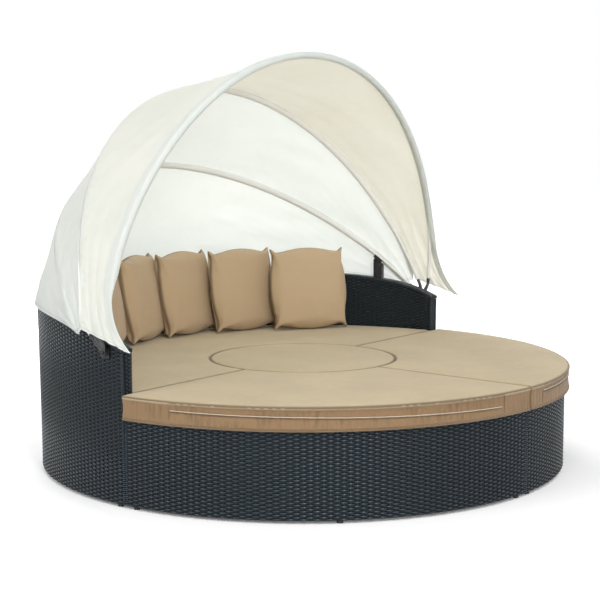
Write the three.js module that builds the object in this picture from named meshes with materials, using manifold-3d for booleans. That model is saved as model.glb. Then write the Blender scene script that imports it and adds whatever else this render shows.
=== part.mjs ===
// Outdoor daybed: a woven half-round sofa, two woven ottomans and a round one, under a folding canopy.
// Millimetres, +Z up. +Y points to the backrest, and the origin is on the floor at the middle of the plan.
import * as THREE from 'three';
import { mergeVertices } from 'three/addons/utils/BufferGeometryUtils.js';
import Module from 'manifold-3d';

const wasm = await Module();
wasm.setup();

// Plan of the sections, seen from above
const baseRadius = 1100;
const centreRadius = 394;
const frontSeamAngle = -93.3;
const clearance = 0.3;

// Woven bases
const footHeight = 12;
const baseHeight = 320;
const weaveThickness = 10;
const deckThickness = 12;
const tubeSize = 20;

// Backrest and arms
const wallThickness = 50;
const wallFlare = 10;
const armTopHeight = 590;
const backTopHeight = 694;
const rimRiseAngle = 12;
const rimThickness = 16;
const rimOverhang = 1.5;
const rimChamfer = 4;
const uprightAngles = [5, 35, 65, 90, 115, 145, 175];
const innerUprightAngles = [35, 90, 145];
const roundUprightAngles = [45, 135, 225, 315];
const uprightSetback = 1.5;
const frameArcSetback = 3.6;
const rimSeatGap = 0.8;

// Glides under the frames
const footRadius = 12;
const footSeamInset = 40;
const sofaBackFootAngle = 60;

// Seat cushions
const cushionHeight = 92;
const cushionOverhang = 18.7;
const cushionCrown = 10;
const cushionCrownRun = 110;
const crownShoulderShare = 0.6;
const cushionEdgeRadius = 8;
const cushionDrawIn = 4;

// Throw pillows
const pillowSize = 392;
const pillowThickness = 116;
const pillowDrawInShare = 0.07;
const sidePillowSetback = 188;
const backPillowSetback = 184;
const pillowPoses = [
  { name: 'throw_pillow_1', angle: 34.5, setback: sidePillowSetback, lean: 10, yaw: 24 },
  { name: 'throw_pillow_2', angle: 56, setback: sidePillowSetback, lean: 10, yaw: 24 },
  { name: 'throw_pillow_3', angle: 76, setback: backPillowSetback, lean: 11, yaw: 20 },
  { name: 'throw_pillow_4', angle: 95, setback: backPillowSetback, lean: 11, yaw: 16 },
  { name: 'throw_pillow_5', angle: 117, setback: backPillowSetback, lean: 10, yaw: 8 },
];

// Canopy bows: tubes with flattened ends, stacked on one bolt at each arm
const pivotY = 84;
const pivotHeight = 573;
const bowTubeRadius = 7;
const tabThickness = 3.5;
const tabHalfWidth = 11;
const tabLength = 24;
const tabTransition = 50;
const bowStandOut = 13;
const bowSpacing = 16.4;
const rearBow = { name: 'canopy_bow_rear', angle: 40.7, reach: 1005, stack: 0 };
const middleBow = { name: 'canopy_bow_middle', angle: 66.8, reach: 1083, stack: 1 };
const frontBow = { name: 'canopy_bow_front', angle: 97.6, reach: 1127, stack: 2 };
const bows = [rearBow, middleBow, frontBow];
for (const bow of bows) {
  bow.halfWidth = baseRadius + bowStandOut + bow.stack * bowSpacing;
}
const boltRadius = 4;
const boltHeadRadius = 8;
const boltHeadThickness = 5;
const bracketPlateThickness = 3;
const bracketWidth = 44;
const bracketHeight = 40;
const bracketBossRadius = 13;
const bracketBossRise = 2.2;

// Rests on the arms that carry the rear bow
const restReach = 295;
const restPostWidth = 43;
const restPostDepth = 36;
const restPadDepth = 14;
const restPadLength = 40;
const restPadWidth = 28;
const restPadLip = 7;
const restPostInset = 18;

// Canopy cloth
const clothThickness = 1.6;
const clothOffset = 12.4;
const clothEvenShare = 0.35;
const clothSag = 10;
const clothFoldDepth = 7;
const clothFoldRun = 260;
const clothFlareRun = 125;
const clothSeamGap = 0.4;
const frontTip = { flare: 0, y: -52, z: 591 };
const frontCorner = { flare: 15, y: 158, z: 660 };
const middleCorner = { flare: 7, y: 163, z: 656 };
const rearCorner = { flare: 1, y: 196, z: 634 };
const hemStartAngle = 11.4;
const hemRiseAngle = 8;
const hemTopHeight = 683;
const hemSideFlare = 15;
const hemFlareAngle = 15;

// Fineness of the curved surfaces
const outerArcStep = 5;
const innerArcStep = 7.5;
const armArc = 15;
const armArcStep = 2.5;
const frameCoarseness = 2;
const bowSteps = 30;
const bowSides = 8;
const clothSteps = 32;
const frontPanelSteps = 5;
const sidePanelSteps = 4;
const pillowSteps = 8;
const wallCourses = 3;
const bracketSteps = 4;
const footSides = 12;

const degrees = Math.PI / 180;
const fullTurn = 2 * Math.PI;
const baseBottom = footHeight + clearance;
const baseTop = footHeight + baseHeight;
const seatBottom = baseTop + clearance;
const cushionTop = seatBottom + cushionHeight;
const wallInnerRadius = baseRadius - wallThickness;
const sectionInnerRadius = centreRadius + 2 * clearance;
const edgeRadius = baseRadius + cushionOverhang;

// Materials
const wickerMaterial = new THREE.MeshStandardMaterial({ color: 0x2b2c30, roughness: 0.55, metalness: 0 });
const steelMaterial = new THREE.MeshStandardMaterial({ color: 0x1a1a1c, roughness: 0.5, metalness: 0.6 });
const plasticMaterial = new THREE.MeshStandardMaterial({ color: 0x101011, roughness: 0.6, metalness: 0 });
const cushionMaterial = new THREE.MeshStandardMaterial({ color: 0xbfa680, roughness: 0.9, metalness: 0 });
const pillowMaterial = new THREE.MeshStandardMaterial({ color: 0xb99b74, roughness: 0.9, metalness: 0 });
const clothMaterial = new THREE.MeshStandardMaterial({ color: 0xeef2ee, roughness: 0.9, metalness: 0 });
const bowMaterial = new THREE.MeshStandardMaterial({ color: 0xd9dbd8, roughness: 0.4, metalness: 0.7 });

const daybed = new THREE.Group();

function addMesh(parent, name, geometry, material) {
  const mesh = new THREE.Mesh(geometry, material);
  mesh.name = name;
  parent.add(mesh);
  return mesh;
}

// Solid helpers: a loft through closed polygons, and joins and cuts between closed meshes

function polygonCap(polygon) {
  const normal = new THREE.Vector3();
  polygon.forEach((point, index) => {
    const next = polygon[(index + 1) % polygon.length];
    normal.x += (point.y - next.y) * (point.z + next.z);
    normal.y += (point.z - next.z) * (point.x + next.x);
    normal.z += (point.x - next.x) * (point.y + next.y);
  });
  normal.normalize();
  const turn = new THREE.Quaternion().setFromUnitVectors(normal, new THREE.Vector3(0, 0, 1));
  const flat = polygon.map((point) => {
    const turned = point.clone().applyQuaternion(turn);
    return new THREE.Vector2(turned.x, turned.y);
  });
  return THREE.ShapeUtils.triangulateShape(flat, []);
}

function orientOutward(positions, triangles) {
  let volume = 0;
  const corner = (index) => new THREE.Vector3().fromArray(positions, 3 * index);
  for (const [a, b, c] of triangles) {
    volume += corner(a).dot(corner(b).cross(corner(c)));
  }
  return volume < 0 ? triangles.map(([a, b, c]) => [a, c, b]) : triangles;
}

function closedGeometry(points, triangles) {
  const positions = points.flatMap((point) => [point.x, point.y, point.z]);
  const geometry = new THREE.BufferGeometry();
  geometry.setAttribute('position', new THREE.Float32BufferAttribute(positions, 3));
  geometry.setIndex(orientOutward(positions, triangles).flat());
  return geometry;
}

function loft(stations) {
  const count = stations[0].length;
  const tail = (stations.length - 1) * count;
  const triangles = [];
  for (let here = 0; here < tail; here += count) {
    const next = here + count;
    for (let j = 0; j < count; j += 1) {
      const k = (j + 1) % count;
      triangles.push([here + j, here + k, next + k], [here + j, next + k, next + j]);
    }
  }
  for (const [a, b, c] of polygonCap(stations[0])) {
    triangles.push([c, b, a]);
  }
  for (const [a, b, c] of polygonCap(stations[stations.length - 1])) {
    triangles.push([tail + a, tail + b, tail + c]);
  }
  return closedGeometry(stations.flat(), triangles);
}

function toSolid(geometry) {
  const bare = geometry.clone();
  bare.deleteAttribute('normal');
  bare.deleteAttribute('uv');
  const merged = mergeVertices(bare);
  const vertProperties = new Float32Array(merged.attributes.position.array);
  const triVerts = new Uint32Array(merged.index.array);
  return new wasm.Manifold(new wasm.Mesh({ numProp: 3, vertProperties, triVerts }));
}

function fromSolid(solid) {
  const mesh = solid.getMesh();
  const geometry = new THREE.BufferGeometry();
  geometry.setAttribute('position', new THREE.Float32BufferAttribute(mesh.vertProperties, 3));
  geometry.setIndex(Array.from(mesh.triVerts));
  return geometry;
}

function join(geometries) {
  return fromSolid(geometries.map(toSolid).reduce((whole, piece) => whole.add(piece)));
}

function cut(geometry, tools) {
  return fromSolid(tools.map(toSolid).reduce((left, tool) => left.subtract(tool), toSolid(geometry)));
}

function polar(radius, angle, z) {
  return new THREE.Vector3(radius * Math.cos(angle), radius * Math.sin(angle), z);
}

// The ends of an arc, and the stations of one shared grid between them, so that facing arcs match
function arcAngles(start, end, step) {
  const angles = [start * degrees];
  for (let station = Math.floor(start / step) + 1; station * step < end; station += 1) {
    angles.push(station * step * degrees);
  }
  return [...angles, end * degrees];
}

// One arc of a section, its ends trimmed to stand clear of the seams beside it
function sectionArc(sector, radius, side, step) {
  const angles = arcAngles(sector.start, sector.end, step);
  const first = angles[0];
  const last = angles[angles.length - 1];
  const trim = Math.asin(side / radius);
  const squeeze = (last - first - 2 * trim) / (last - first);
  return angles.map((angle) => {
    const turned = first + trim + (angle - first) * squeeze;
    return new THREE.Vector2(radius * Math.cos(turned), radius * Math.sin(turned));
  });
}

// Outline of a section of the round plan, drawn in by inset on every side
function sectorOutline(sector, inset, coarseness = 1) {
  const outer = sectionArc(sector, sector.outer - inset, clearance + inset, outerArcStep * coarseness);
  const inner = sectionArc(sector, sector.inner + inset, clearance + inset, innerArcStep * coarseness);
  return [...outer, ...inner.reverse()];
}

function circleOutline(radius) {
  const angles = arcAngles(0, 360, innerArcStep).slice(0, -1);
  return angles.map((angle) => new THREE.Vector2(radius * Math.cos(angle), radius * Math.sin(angle)));
}

function extrude(outline, hole, bottom, top) {
  const shape = new THREE.Shape(outline);
  if (hole) {
    shape.holes.push(new THREE.Path(hole));
  }
  const options = { depth: top - bottom, bevelEnabled: false };
  return new THREE.ExtrudeGeometry(shape, options).translate(0, 0, bottom);
}

// Heights and radii of the backrest wall

function angleFromArm(angle) {
  return Math.min(angle, Math.PI - angle) / degrees;
}

// Stations along the backrest, closer together where the arms slope
const wallAngles = [
  ...arcAngles(0, armArc, armArcStep),
  ...arcAngles(armArc, 180 - armArc, outerArcStep).slice(1),
  ...arcAngles(180 - armArc, 180, armArcStep).slice(1),
];

const rimTops = wallAngles.map((angle) => {
  const rise = 1 - Math.exp(-angleFromArm(angle) / rimRiseAngle);
  return armTopHeight + (backTopHeight - armTopHeight) * rise;
});

// The rim runs straight between the wall's stations, so everything under it follows the same line
function rimTop(angle) {
  const next = Math.max(wallAngles.findIndex((station) => station >= angle), 1);
  const share = (angle - wallAngles[next - 1]) / (wallAngles[next] - wallAngles[next - 1]);
  return rimTops[next - 1] + (rimTops[next] - rimTops[next - 1]) * share;
}

function rimBottom(angle) {
  return rimTop(angle) - rimThickness;
}

function wallOuterRadius(z) {
  const share = (z - footHeight) / (backTopHeight - footHeight);
  return baseRadius + wallFlare * share * share;
}

// A loft along the backrest: section(angle) gives [radius, height] pairs
function wallLoft(sideDistance, section) {
  const start = Math.asin(sideDistance / wallInnerRadius);
  const angles = [start, ...wallAngles.slice(1, -1), Math.PI - start];
  return loft(angles.map((angle) => section(angle).map(([radius, z]) => polar(radius, angle, z))));
}

// Sofa section

const sofaSector = { start: 0, end: 180, inner: sectionInnerRadius, outer: baseRadius };
const wallStartDistance = weaveThickness + 2 * clearance;
const frameInset = weaveThickness + clearance;
const outerFootRadius = baseRadius - frameInset - tubeSize / 2;
const innerFootRadius = sectionInnerRadius + frameArcSetback + frameInset + tubeSize / 2;
const seamFootAngle = Math.asin(footSeamInset / outerFootRadius) / degrees;

// The flared outer face, from the bottom of the weave up to a top level
function wallFace(top, setback) {
  const face = [];
  for (let course = 0; course <= wallCourses; course += 1) {
    const z = baseBottom + ((top - baseBottom) * course) / wallCourses;
    face.push([wallOuterRadius(z) - setback, z]);
  }
  return face;
}

function outerWallSection(angle) {
  const top = rimBottom(angle) - rimSeatGap;
  return [...wallFace(top, 0), ...wallFace(top, weaveThickness).reverse()];
}

function innerLiningSection(angle) {
  const top = rimBottom(angle) - rimSeatGap;
  const back = wallInnerRadius + weaveThickness;
  return [[wallInnerRadius, seatBottom], [back, seatBottom], [back, top], [wallInnerRadius, top]];
}

function rimSection(angle) {
  const top = rimTop(angle);
  const low = rimBottom(angle);
  const inside = wallInnerRadius - rimOverhang;
  const outside = wallOuterRadius(top) + rimOverhang;
  return [
    [inside, low],
    [outside, low],
    [outside, top - rimChamfer],
    [outside - rimChamfer, top],
    [inside + rimChamfer, top],
    [inside, top - rimChamfer],
  ];
}

function topRailSection(angle) {
  const top = rimBottom(angle) - rimSeatGap;
  const low = top - tubeSize;
  const outside = baseRadius - weaveThickness - 2 * clearance;
  const inside = wallInnerRadius + weaveThickness + 2 * clearance;
  return [[inside, low], [outside, low], [outside, top], [inside, top]];
}

function armEnd(side) {
  const top = rimBottom(0) - clearance;
  const outline = [[wallInnerRadius, baseBottom], ...wallFace(top, 0), [wallInnerRadius, top]];
  const near = outline.map(([x, z]) => new THREE.Vector3(side * x, clearance, z));
  const far = outline.map(([x, z]) => new THREE.Vector3(side * x, clearance + weaveThickness, z));
  return loft([near, far]);
}

function frontApron() {
  const run = wallInnerRadius - clearance;
  const far = clearance + weaveThickness;
  const nearArc = sectionArc(sofaSector, sectionInnerRadius, clearance, innerArcStep);
  const farArc = sectionArc(sofaSector, sectionInnerRadius + weaveThickness, far, innerArcStep);
  const nearEnds = [new THREE.Vector2(run, clearance), new THREE.Vector2(-run, clearance)];
  const farEnds = [new THREE.Vector2(-run, far), new THREE.Vector2(run, far)];
  const outline = [nearEnds[0], ...nearArc, nearEnds[1], farEnds[0], ...farArc.reverse(), farEnds[1]];
  return extrude(outline, null, baseBottom, baseTop);
}

function frameRing(outline, hole, bottom) {
  return extrude(outline, hole, bottom, bottom + tubeSize);
}

function upright(radius, angle, top) {
  const height = top - baseBottom;
  const post = new THREE.BoxGeometry(tubeSize, tubeSize, height);
  post.rotateZ(angle);
  const centre = polar(radius, angle, baseBottom + height / 2);
  return post.translate(centre.x, centre.y, centre.z);
}

const seatRingBottom = baseTop - deckThickness - clearance - tubeSize;

function sofaFrame() {
  const inner = sectionInnerRadius + frameArcSetback;
  const sector = { ...sofaSector, outer: baseRadius - clearance, inner };
  const outline = sectorOutline(sector, frameInset, frameCoarseness);
  const hole = sectorOutline(sector, frameInset + tubeSize, frameCoarseness);
  const outerLine = baseRadius - weaveThickness - 2 * clearance - tubeSize / 2 - uprightSetback;
  const pieces = [
    frameRing(outline, hole, baseBottom),
    frameRing(outline, hole, seatRingBottom),
    wallLoft(frameInset + clearance, topRailSection),
  ];
  for (const angle of uprightAngles) {
    const turn = angle * degrees;
    pieces.push(upright(outerLine, turn, rimBottom(turn) - rimSeatGap - tubeSize / 2));
  }
  for (const angle of innerUprightAngles) {
    pieces.push(upright(innerFootRadius, angle * degrees, seatRingBottom + tubeSize));
  }
  return join(pieces);
}

const sofa = new THREE.Group();
daybed.add(sofa);
addMesh(sofa, 'sofa_outer_weave', wallLoft(wallStartDistance, outerWallSection), wickerMaterial);
addMesh(sofa, 'sofa_inner_weave', wallLoft(wallStartDistance, innerLiningSection), wickerMaterial);
addMesh(sofa, 'sofa_rim_braid', wallLoft(clearance, rimSection), wickerMaterial);
addMesh(sofa, 'sofa_arm_end_right', armEnd(1), wickerMaterial);
addMesh(sofa, 'sofa_arm_end_left', armEnd(-1), wickerMaterial);
addMesh(sofa, 'sofa_front_weave', frontApron(), wickerMaterial);
const sofaDeckSector = { ...sofaSector, outer: wallInnerRadius + weaveThickness + frameInset };
const sofaDeck = extrude(sectorOutline(sofaDeckSector, frameInset), null, baseTop - deckThickness, baseTop);
addMesh(sofa, 'sofa_seat_deck', sofaDeck, wickerMaterial);
addMesh(sofa, 'sofa_frame', sofaFrame(), steelMaterial);

// Glides: one under each place of a frame, seated against its bottom ring

function addFeet(parent, prefix, places) {
  places.forEach(([radius, angle], index) => {
    const foot = new THREE.CylinderGeometry(footRadius, footRadius, footHeight, footSides);
    foot.rotateX(Math.PI / 2);
    const mesh = addMesh(parent, `${prefix}_${index + 1}`, foot, plasticMaterial);
    mesh.position.copy(polar(radius, angle * degrees, footHeight / 2));
  });
}

addFeet(sofa, 'sofa_foot', [
  [outerFootRadius, seamFootAngle],
  [outerFootRadius, sofaBackFootAngle],
  [outerFootRadius, 180 - sofaBackFootAngle],
  [outerFootRadius, 180 - seamFootAngle],
  [innerFootRadius, 90],
]);

// Ottomans in front of the sofa

function addOttoman(prefix, start, end) {
  const group = new THREE.Group();
  daybed.add(group);
  const sector = { start, end, inner: sectionInnerRadius, outer: baseRadius };
  const outlineAt = (inset) => sectorOutline(sector, inset);
  const shell = extrude(outlineAt(0), outlineAt(weaveThickness), baseBottom, baseTop);
  addMesh(group, `${prefix}_weave`, shell, wickerMaterial);
  const deck = extrude(outlineAt(frameInset), null, baseTop - deckThickness, baseTop);
  addMesh(group, `${prefix}_deck`, deck, wickerMaterial);
  const frameSector = { ...sector, inner: sectionInnerRadius + frameArcSetback };
  const outline = sectorOutline(frameSector, frameInset, frameCoarseness);
  const hole = sectorOutline(frameSector, frameInset + tubeSize, frameCoarseness);
  const middle = (start + end) / 2;
  const outerLine = baseRadius - frameInset - tubeSize / 2 - uprightSetback;
  const top = seatRingBottom + tubeSize;
  const outerTrim = Math.asin((frameInset + tubeSize) / outerLine) / degrees;
  const frame = join([
    frameRing(outline, hole, baseBottom),
    frameRing(outline, hole, seatRingBottom),
    upright(outerLine, (start + outerTrim) * degrees, top),
    upright(outerLine, middle * degrees, top),
    upright(outerLine, (end - outerTrim) * degrees, top),
    upright(innerFootRadius, middle * degrees, top),
  ]);
  addMesh(group, `${prefix}_frame`, frame, steelMaterial);
  addFeet(group, `${prefix}_foot`, [
    [outerFootRadius, start + seamFootAngle],
    [outerFootRadius, middle],
    [outerFootRadius, end - seamFootAngle],
    [innerFootRadius, middle],
  ]);
}

addOttoman('ottoman_left', -180, frontSeamAngle);
addOttoman('ottoman_right', frontSeamAngle, 0);

// Round ottoman in the middle

function addRoundOttoman() {
  const group = new THREE.Group();
  daybed.add(group);
  const circleAt = (inset) => circleOutline(centreRadius - inset);
  const shell = extrude(circleAt(0), circleAt(weaveThickness), baseBottom, baseTop);
  addMesh(group, 'round_ottoman_weave', shell, wickerMaterial);
  const deck = extrude(circleAt(frameInset), null, baseTop - deckThickness, baseTop);
  addMesh(group, 'round_ottoman_deck', deck, wickerMaterial);
  const line = centreRadius - frameInset - tubeSize / 2 - uprightSetback;
  const rings = [baseBottom, seatRingBottom].map((bottom) =>
    frameRing(circleAt(frameInset), circleAt(frameInset + tubeSize), bottom),
  );
  const posts = roundUprightAngles.map((angle) => upright(line, angle * degrees, seatRingBottom + tubeSize));
  addMesh(group, 'round_ottoman_frame', join([...rings, ...posts]), steelMaterial);
  addFeet(group, 'round_ottoman_foot', roundUprightAngles.map((angle) => [line, angle]));
}

addRoundOttoman();

// Seat cushions: boxed, with a crowned top and drawn-in sides

const cushionLevels = [
  { inset: cushionEdgeRadius, z: seatBottom },
  { inset: 0, z: seatBottom + cushionEdgeRadius },
  { inset: cushionDrawIn, z: seatBottom + cushionHeight / 2 },
  { inset: 0, z: cushionTop - cushionEdgeRadius },
  { inset: cushionEdgeRadius, z: cushionTop },
  { inset: cushionCrownRun / 3, z: cushionTop + cushionCrown * crownShoulderShare },
  { inset: cushionCrownRun, z: cushionTop + cushionCrown },
];

function cushion(outlineAt) {
  const level = ({ inset, z }) => outlineAt(inset).map((p) => new THREE.Vector3(p.x, p.y, z));
  return loft(cushionLevels.map(level));
}

function sectorCushion(sector) {
  return cushion((inset) => sectorOutline(sector, inset));
}

const sofaCushionSector = { ...sofaSector, outer: wallInnerRadius - rimOverhang - clearance };
addMesh(daybed, 'sofa_cushion', sectorCushion(sofaCushionSector), cushionMaterial);
const frontCushion = { inner: sectionInnerRadius, outer: edgeRadius };
const leftCushion = sectorCushion({ ...frontCushion, start: -180, end: frontSeamAngle });
addMesh(daybed, 'ottoman_left_cushion', leftCushion, cushionMaterial);
const rightCushion = sectorCushion({ ...frontCushion, start: frontSeamAngle, end: 0 });
addMesh(daybed, 'ottoman_right_cushion', rightCushion, cushionMaterial);
const roundCushion = cushion((inset) => circleOutline(centreRadius - inset));
addMesh(daybed, 'round_ottoman_cushion', roundCushion, cushionMaterial);

// Throw pillows: knife edges, drawn-in sides and pointed corners

function pillow() {
  const steps = pillowSteps;
  const half = pillowSize / 2;
  const points = [];
  const triangles = [];
  const front = [];
  const back = [];
  for (let i = 0; i <= steps; i += 1) {
    for (let j = 0; j <= steps; j += 1) {
      const u = (2 * i) / steps - 1;
      const v = (2 * j) / steps - 1;
      const x = half * u * (1 - pillowDrawInShare * (1 - v * v));
      const y = half * v * (1 - pillowDrawInShare * (1 - u * u));
      const puff = (pillowThickness / 2) * Math.sqrt((1 - u * u) * (1 - v * v));
      const edge = i === 0 || j === 0 || i === steps || j === steps;
      front.push(points.length);
      points.push(new THREE.Vector3(x, y, puff));
      if (edge) {
        back.push(points.length - 1);
      } else {
        back.push(points.length);
        points.push(new THREE.Vector3(x, y, -puff));
      }
    }
  }
  const at = (grid, i, j) => grid[i * (steps + 1) + j];
  for (let i = 0; i < steps; i += 1) {
    for (let j = 0; j < steps; j += 1) {
      const corners = [[i, j], [i + 1, j], [i + 1, j + 1], [i, j + 1]];
      const [a, b, c, d] = corners.map(([p, q]) => at(front, p, q));
      const [e, f, g, h] = corners.map(([p, q]) => at(back, p, q));
      const rising = (i < steps / 2) === (j < steps / 2);
      if (rising) {
        triangles.push([a, b, c], [a, c, d], [e, g, f], [e, h, g]);
      } else {
        triangles.push([a, b, d], [b, c, d], [e, h, f], [f, h, g]);
      }
    }
  }
  return closedGeometry(points, triangles);
}

// A pillow's plane stands on the seat, leans back and faces the middle, turned by yaw
for (const pose of pillowPoses) {
  const facing = (pose.angle + pose.yaw) * degrees;
  const lean = pose.lean * degrees;
  const across = new THREE.Vector3(-Math.sin(facing), Math.cos(facing), 0);
  const backwards = new THREE.Vector3(Math.cos(facing), Math.sin(facing), 0);
  const up = new THREE.Vector3(0, 0, Math.cos(lean)).addScaledVector(backwards, Math.sin(lean));
  const normal = new THREE.Vector3().crossVectors(across, up);
  const turn = new THREE.Matrix4().makeBasis(across, up, normal);
  const shape = pillow().applyMatrix4(turn);
  shape.computeBoundingBox();
  const mesh = addMesh(daybed, pose.name, shape, pillowMaterial);
  const seatLevel = cushionTop + cushionCrown + clearance;
  const radius = wallInnerRadius - pose.setback;
  mesh.position.copy(polar(radius, pose.angle * degrees, seatLevel - shape.boundingBox.min.z));
}

// Canopy bows, drawn flat in the XY plane of their pivot group and then turned up about the bolt line

const bracketOuterRadius = wallOuterRadius(pivotHeight) + clearance + bracketPlateThickness;
const pivotSeatX = Math.sqrt(bracketOuterRadius ** 2 - pivotY ** 2) + bracketBossRise;

function tabCentre(bow) {
  return pivotSeatX + clearance + tabThickness / 2 + bow.stack * (tabThickness + clearance);
}

function bowX(bow, reach) {
  const share = Math.max(reach, 0) / bow.reach;
  return bow.halfWidth * Math.sqrt(Math.max(1 - share * share, 0));
}

function smooth(share) {
  const t = Math.min(Math.max(share, 0), 1);
  return t * t * (3 - 2 * t);
}

// The tube and its flattened ends, or the same shape grown all round to cut a seat for it
function bowShape(bow, grow) {
  const roundReach = tabLength + tabTransition;
  const third = tabTransition / 3;
  const legReaches = [-tabHalfWidth, tabLength, tabLength + third, tabLength + 2 * third];
  const firstAngle = Math.asin(roundReach / bow.reach);
  const path = legReaches.map((reach) => ({ reach, side: 1 }));
  for (let i = 0; i <= bowSteps; i += 1) {
    const angle = firstAngle + ((Math.PI - 2 * firstAngle) * i) / bowSteps;
    path.push({ reach: bow.reach * Math.sin(angle), x: bow.halfWidth * Math.cos(angle) });
  }
  path.push(...legReaches.map((reach) => ({ reach, side: -1 })).reverse());
  const centres = path.map(({ reach, side, x }) => {
    const round = smooth((reach - tabLength) / tabTransition);
    const leg = tabCentre(bow) + (bowX(bow, reach) - tabCentre(bow)) * round;
    return { point: new THREE.Vector3(side === undefined ? x : side * leg, reach, 0), round };
  });
  const stations = centres.map(({ point, round }, index) => {
    const before = centres[Math.max(index - 1, 0)].point;
    const after = centres[Math.min(index + 1, centres.length - 1)].point;
    const along = new THREE.Vector3(0, Math.sign(point.x), 0);
    const tangent = round === 0 ? along : after.clone().sub(before).normalize();
    const across = new THREE.Vector3(tangent.y, -tangent.x, 0);
    const halfThickness = tabThickness / 2 + (bowTubeRadius - tabThickness / 2) * round + grow;
    const halfWidth = tabHalfWidth + (bowTubeRadius - tabHalfWidth) * round + grow;
    const ring = [];
    for (let side = 0; side < bowSides; side += 1) {
      const turn = ((side + 0.5) * fullTurn) / bowSides;
      const corner = 1 / Math.cos(Math.PI / bowSides);
      const offset = across.clone().multiplyScalar(halfThickness * corner * Math.cos(turn));
      offset.z = halfWidth * Math.sin(turn) * corner;
      ring.push(point.clone().add(offset));
    }
    return ring;
  });
  return loft(stations);
}

function bowTube(bow) {
  const radius = boltRadius + clearance;
  const boltBore = new THREE.CylinderGeometry(radius, radius, 2 * (bow.halfWidth + bracketWidth), footSides);
  return cut(bowShape(bow, 0), [boltBore.rotateZ(Math.PI / 2)]);
}

const pivotGroups = bows.map((bow) => {
  const group = new THREE.Group();
  group.position.set(0, pivotY, pivotHeight);
  group.rotation.x = bow.angle * degrees;
  daybed.add(group);
  addMesh(group, bow.name, bowTube(bow), bowMaterial);
  return group;
});

// Pivot brackets on the arms, and the bolts that carry the bow ends

function pivotBracket() {
  const halfAngle = Math.asin(bracketWidth / 2 / bracketOuterRadius);
  const middle = Math.asin(pivotY / bracketOuterRadius);
  const low = pivotHeight - bracketHeight / 2;
  const high = pivotHeight + bracketHeight / 2;
  const stations = [];
  for (let i = 0; i <= bracketSteps; i += 1) {
    const angle = middle - halfAngle + (2 * halfAngle * i) / bracketSteps;
    const back = [low, high].map((z) => polar(wallOuterRadius(z) + clearance, angle, z));
    const face = back.map((point) => point.clone().add(polar(bracketPlateThickness, angle, 0)));
    stations.push([...back, ...face.reverse()]);
  }
  const bossInner = pivotSeatX - bracketBossRise - bracketPlateThickness / 2;
  const bossLength = pivotSeatX - bossInner;
  const boss = new THREE.CylinderGeometry(bracketBossRadius, bracketBossRadius, bossLength, footSides);
  boss.rotateZ(Math.PI / 2).translate(bossInner + bossLength / 2, pivotY, pivotHeight);
  const boreRadius = boltRadius + clearance;
  const bore = new THREE.CylinderGeometry(boreRadius, boreRadius, bracketWidth, footSides);
  bore.rotateZ(Math.PI / 2).translate(pivotSeatX, pivotY, pivotHeight);
  return cut(join([loft(stations), boss]), [bore]);
}

function pivotBolt() {
  const shankStart = wallOuterRadius(pivotHeight) + clearance;
  const headStart = tabCentre(frontBow) + tabThickness / 2 + clearance;
  const shankLength = headStart - shankStart + boltHeadThickness / 2;
  const shank = new THREE.CylinderGeometry(boltRadius, boltRadius, shankLength, footSides);
  shank.rotateZ(Math.PI / 2).translate(shankStart + shankLength / 2, 0, 0);
  const head = new THREE.CylinderGeometry(boltHeadRadius, boltHeadRadius, boltHeadThickness, footSides);
  head.rotateZ(Math.PI / 2).translate(headStart + boltHeadThickness / 2, 0, 0);
  return join([shank, head]).translate(0, pivotY, pivotHeight);
}

// The same shape on the other arm
function mirrored(geometry) {
  const copy = geometry.clone();
  copy.scale(-1, 1, 1);
  const index = Array.from(copy.index.array);
  for (let i = 0; i < index.length; i += 3) {
    [index[i + 1], index[i + 2]] = [index[i + 2], index[i + 1]];
  }
  copy.setIndex(index);
  return copy;
}

function addPair(name, geometry, material) {
  addMesh(sofa, `${name}_right`, geometry, material);
  addMesh(sofa, `${name}_left`, mirrored(geometry), material);
}

addPair('pivot_bracket', pivotBracket(), steelMaterial);
addPair('pivot_bolt', pivotBolt(), steelMaterial);

// Rest posts on the arms, cut square under a grooved pad that cradles the rear bow

const restX = bowX(rearBow, restReach);
const restPlace = new THREE.Vector3(restX, restReach, 0);

function rearBowFrame(geometry) {
  return geometry.rotateX(rearBow.angle * degrees).translate(0, pivotY, pivotHeight);
}

function restPad() {
  const outerFace = restPlace.x + restPadLip;
  const pad = new THREE.BoxGeometry(restPadWidth, restPadLength, restPadDepth);
  pad.translate(outerFace - restPadWidth / 2, restPlace.y, -restPadDepth / 2 - clearance);
  return rearBowFrame(cut(pad, [bowShape(rearBow, clearance)]));
}

function restPost() {
  const foot = restPlace.clone().applyAxisAngle(new THREE.Vector3(1, 0, 0), rearBow.angle * degrees);
  foot.y += pivotY;
  foot.z += pivotHeight;
  const angle = Math.atan2(foot.y, foot.x);
  const low = rimTop(angle) - rimThickness;
  const high = foot.z + restPostWidth;
  const radius = Math.hypot(foot.x, foot.y) - restPostInset;
  const post = new THREE.BoxGeometry(restPostDepth, restPostWidth, high - low).rotateZ(angle);
  post.translate(radius * Math.cos(angle), radius * Math.sin(angle), (low + high) / 2);
  const seat = -restPadDepth - 2 * clearance;
  const slab = new THREE.BoxGeometry(restReach, restReach, restReach);
  slab.translate(restPlace.x, restPlace.y, restReach / 2 + seat);
  const raisedRim = wallLoft(clearance, (turn) => {
    const outside = baseRadius + wallFlare + restPostDepth;
    const inside = wallInnerRadius - restPostDepth;
    const top = rimTop(turn) + clearance;
    const low = top - 2 * rimThickness;
    return [[inside, low], [outside, low], [outside, top], [inside, top]];
  });
  return cut(post, [rearBowFrame(slab), raisedRim]);
}

addPair('rest_post', restPost(), steelMaterial);
addPair('rest_pad', restPad(), plasticMaterial);

// Canopy cloth: panels between the bows, and one from the rear bow down to the hem round the backrest

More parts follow.
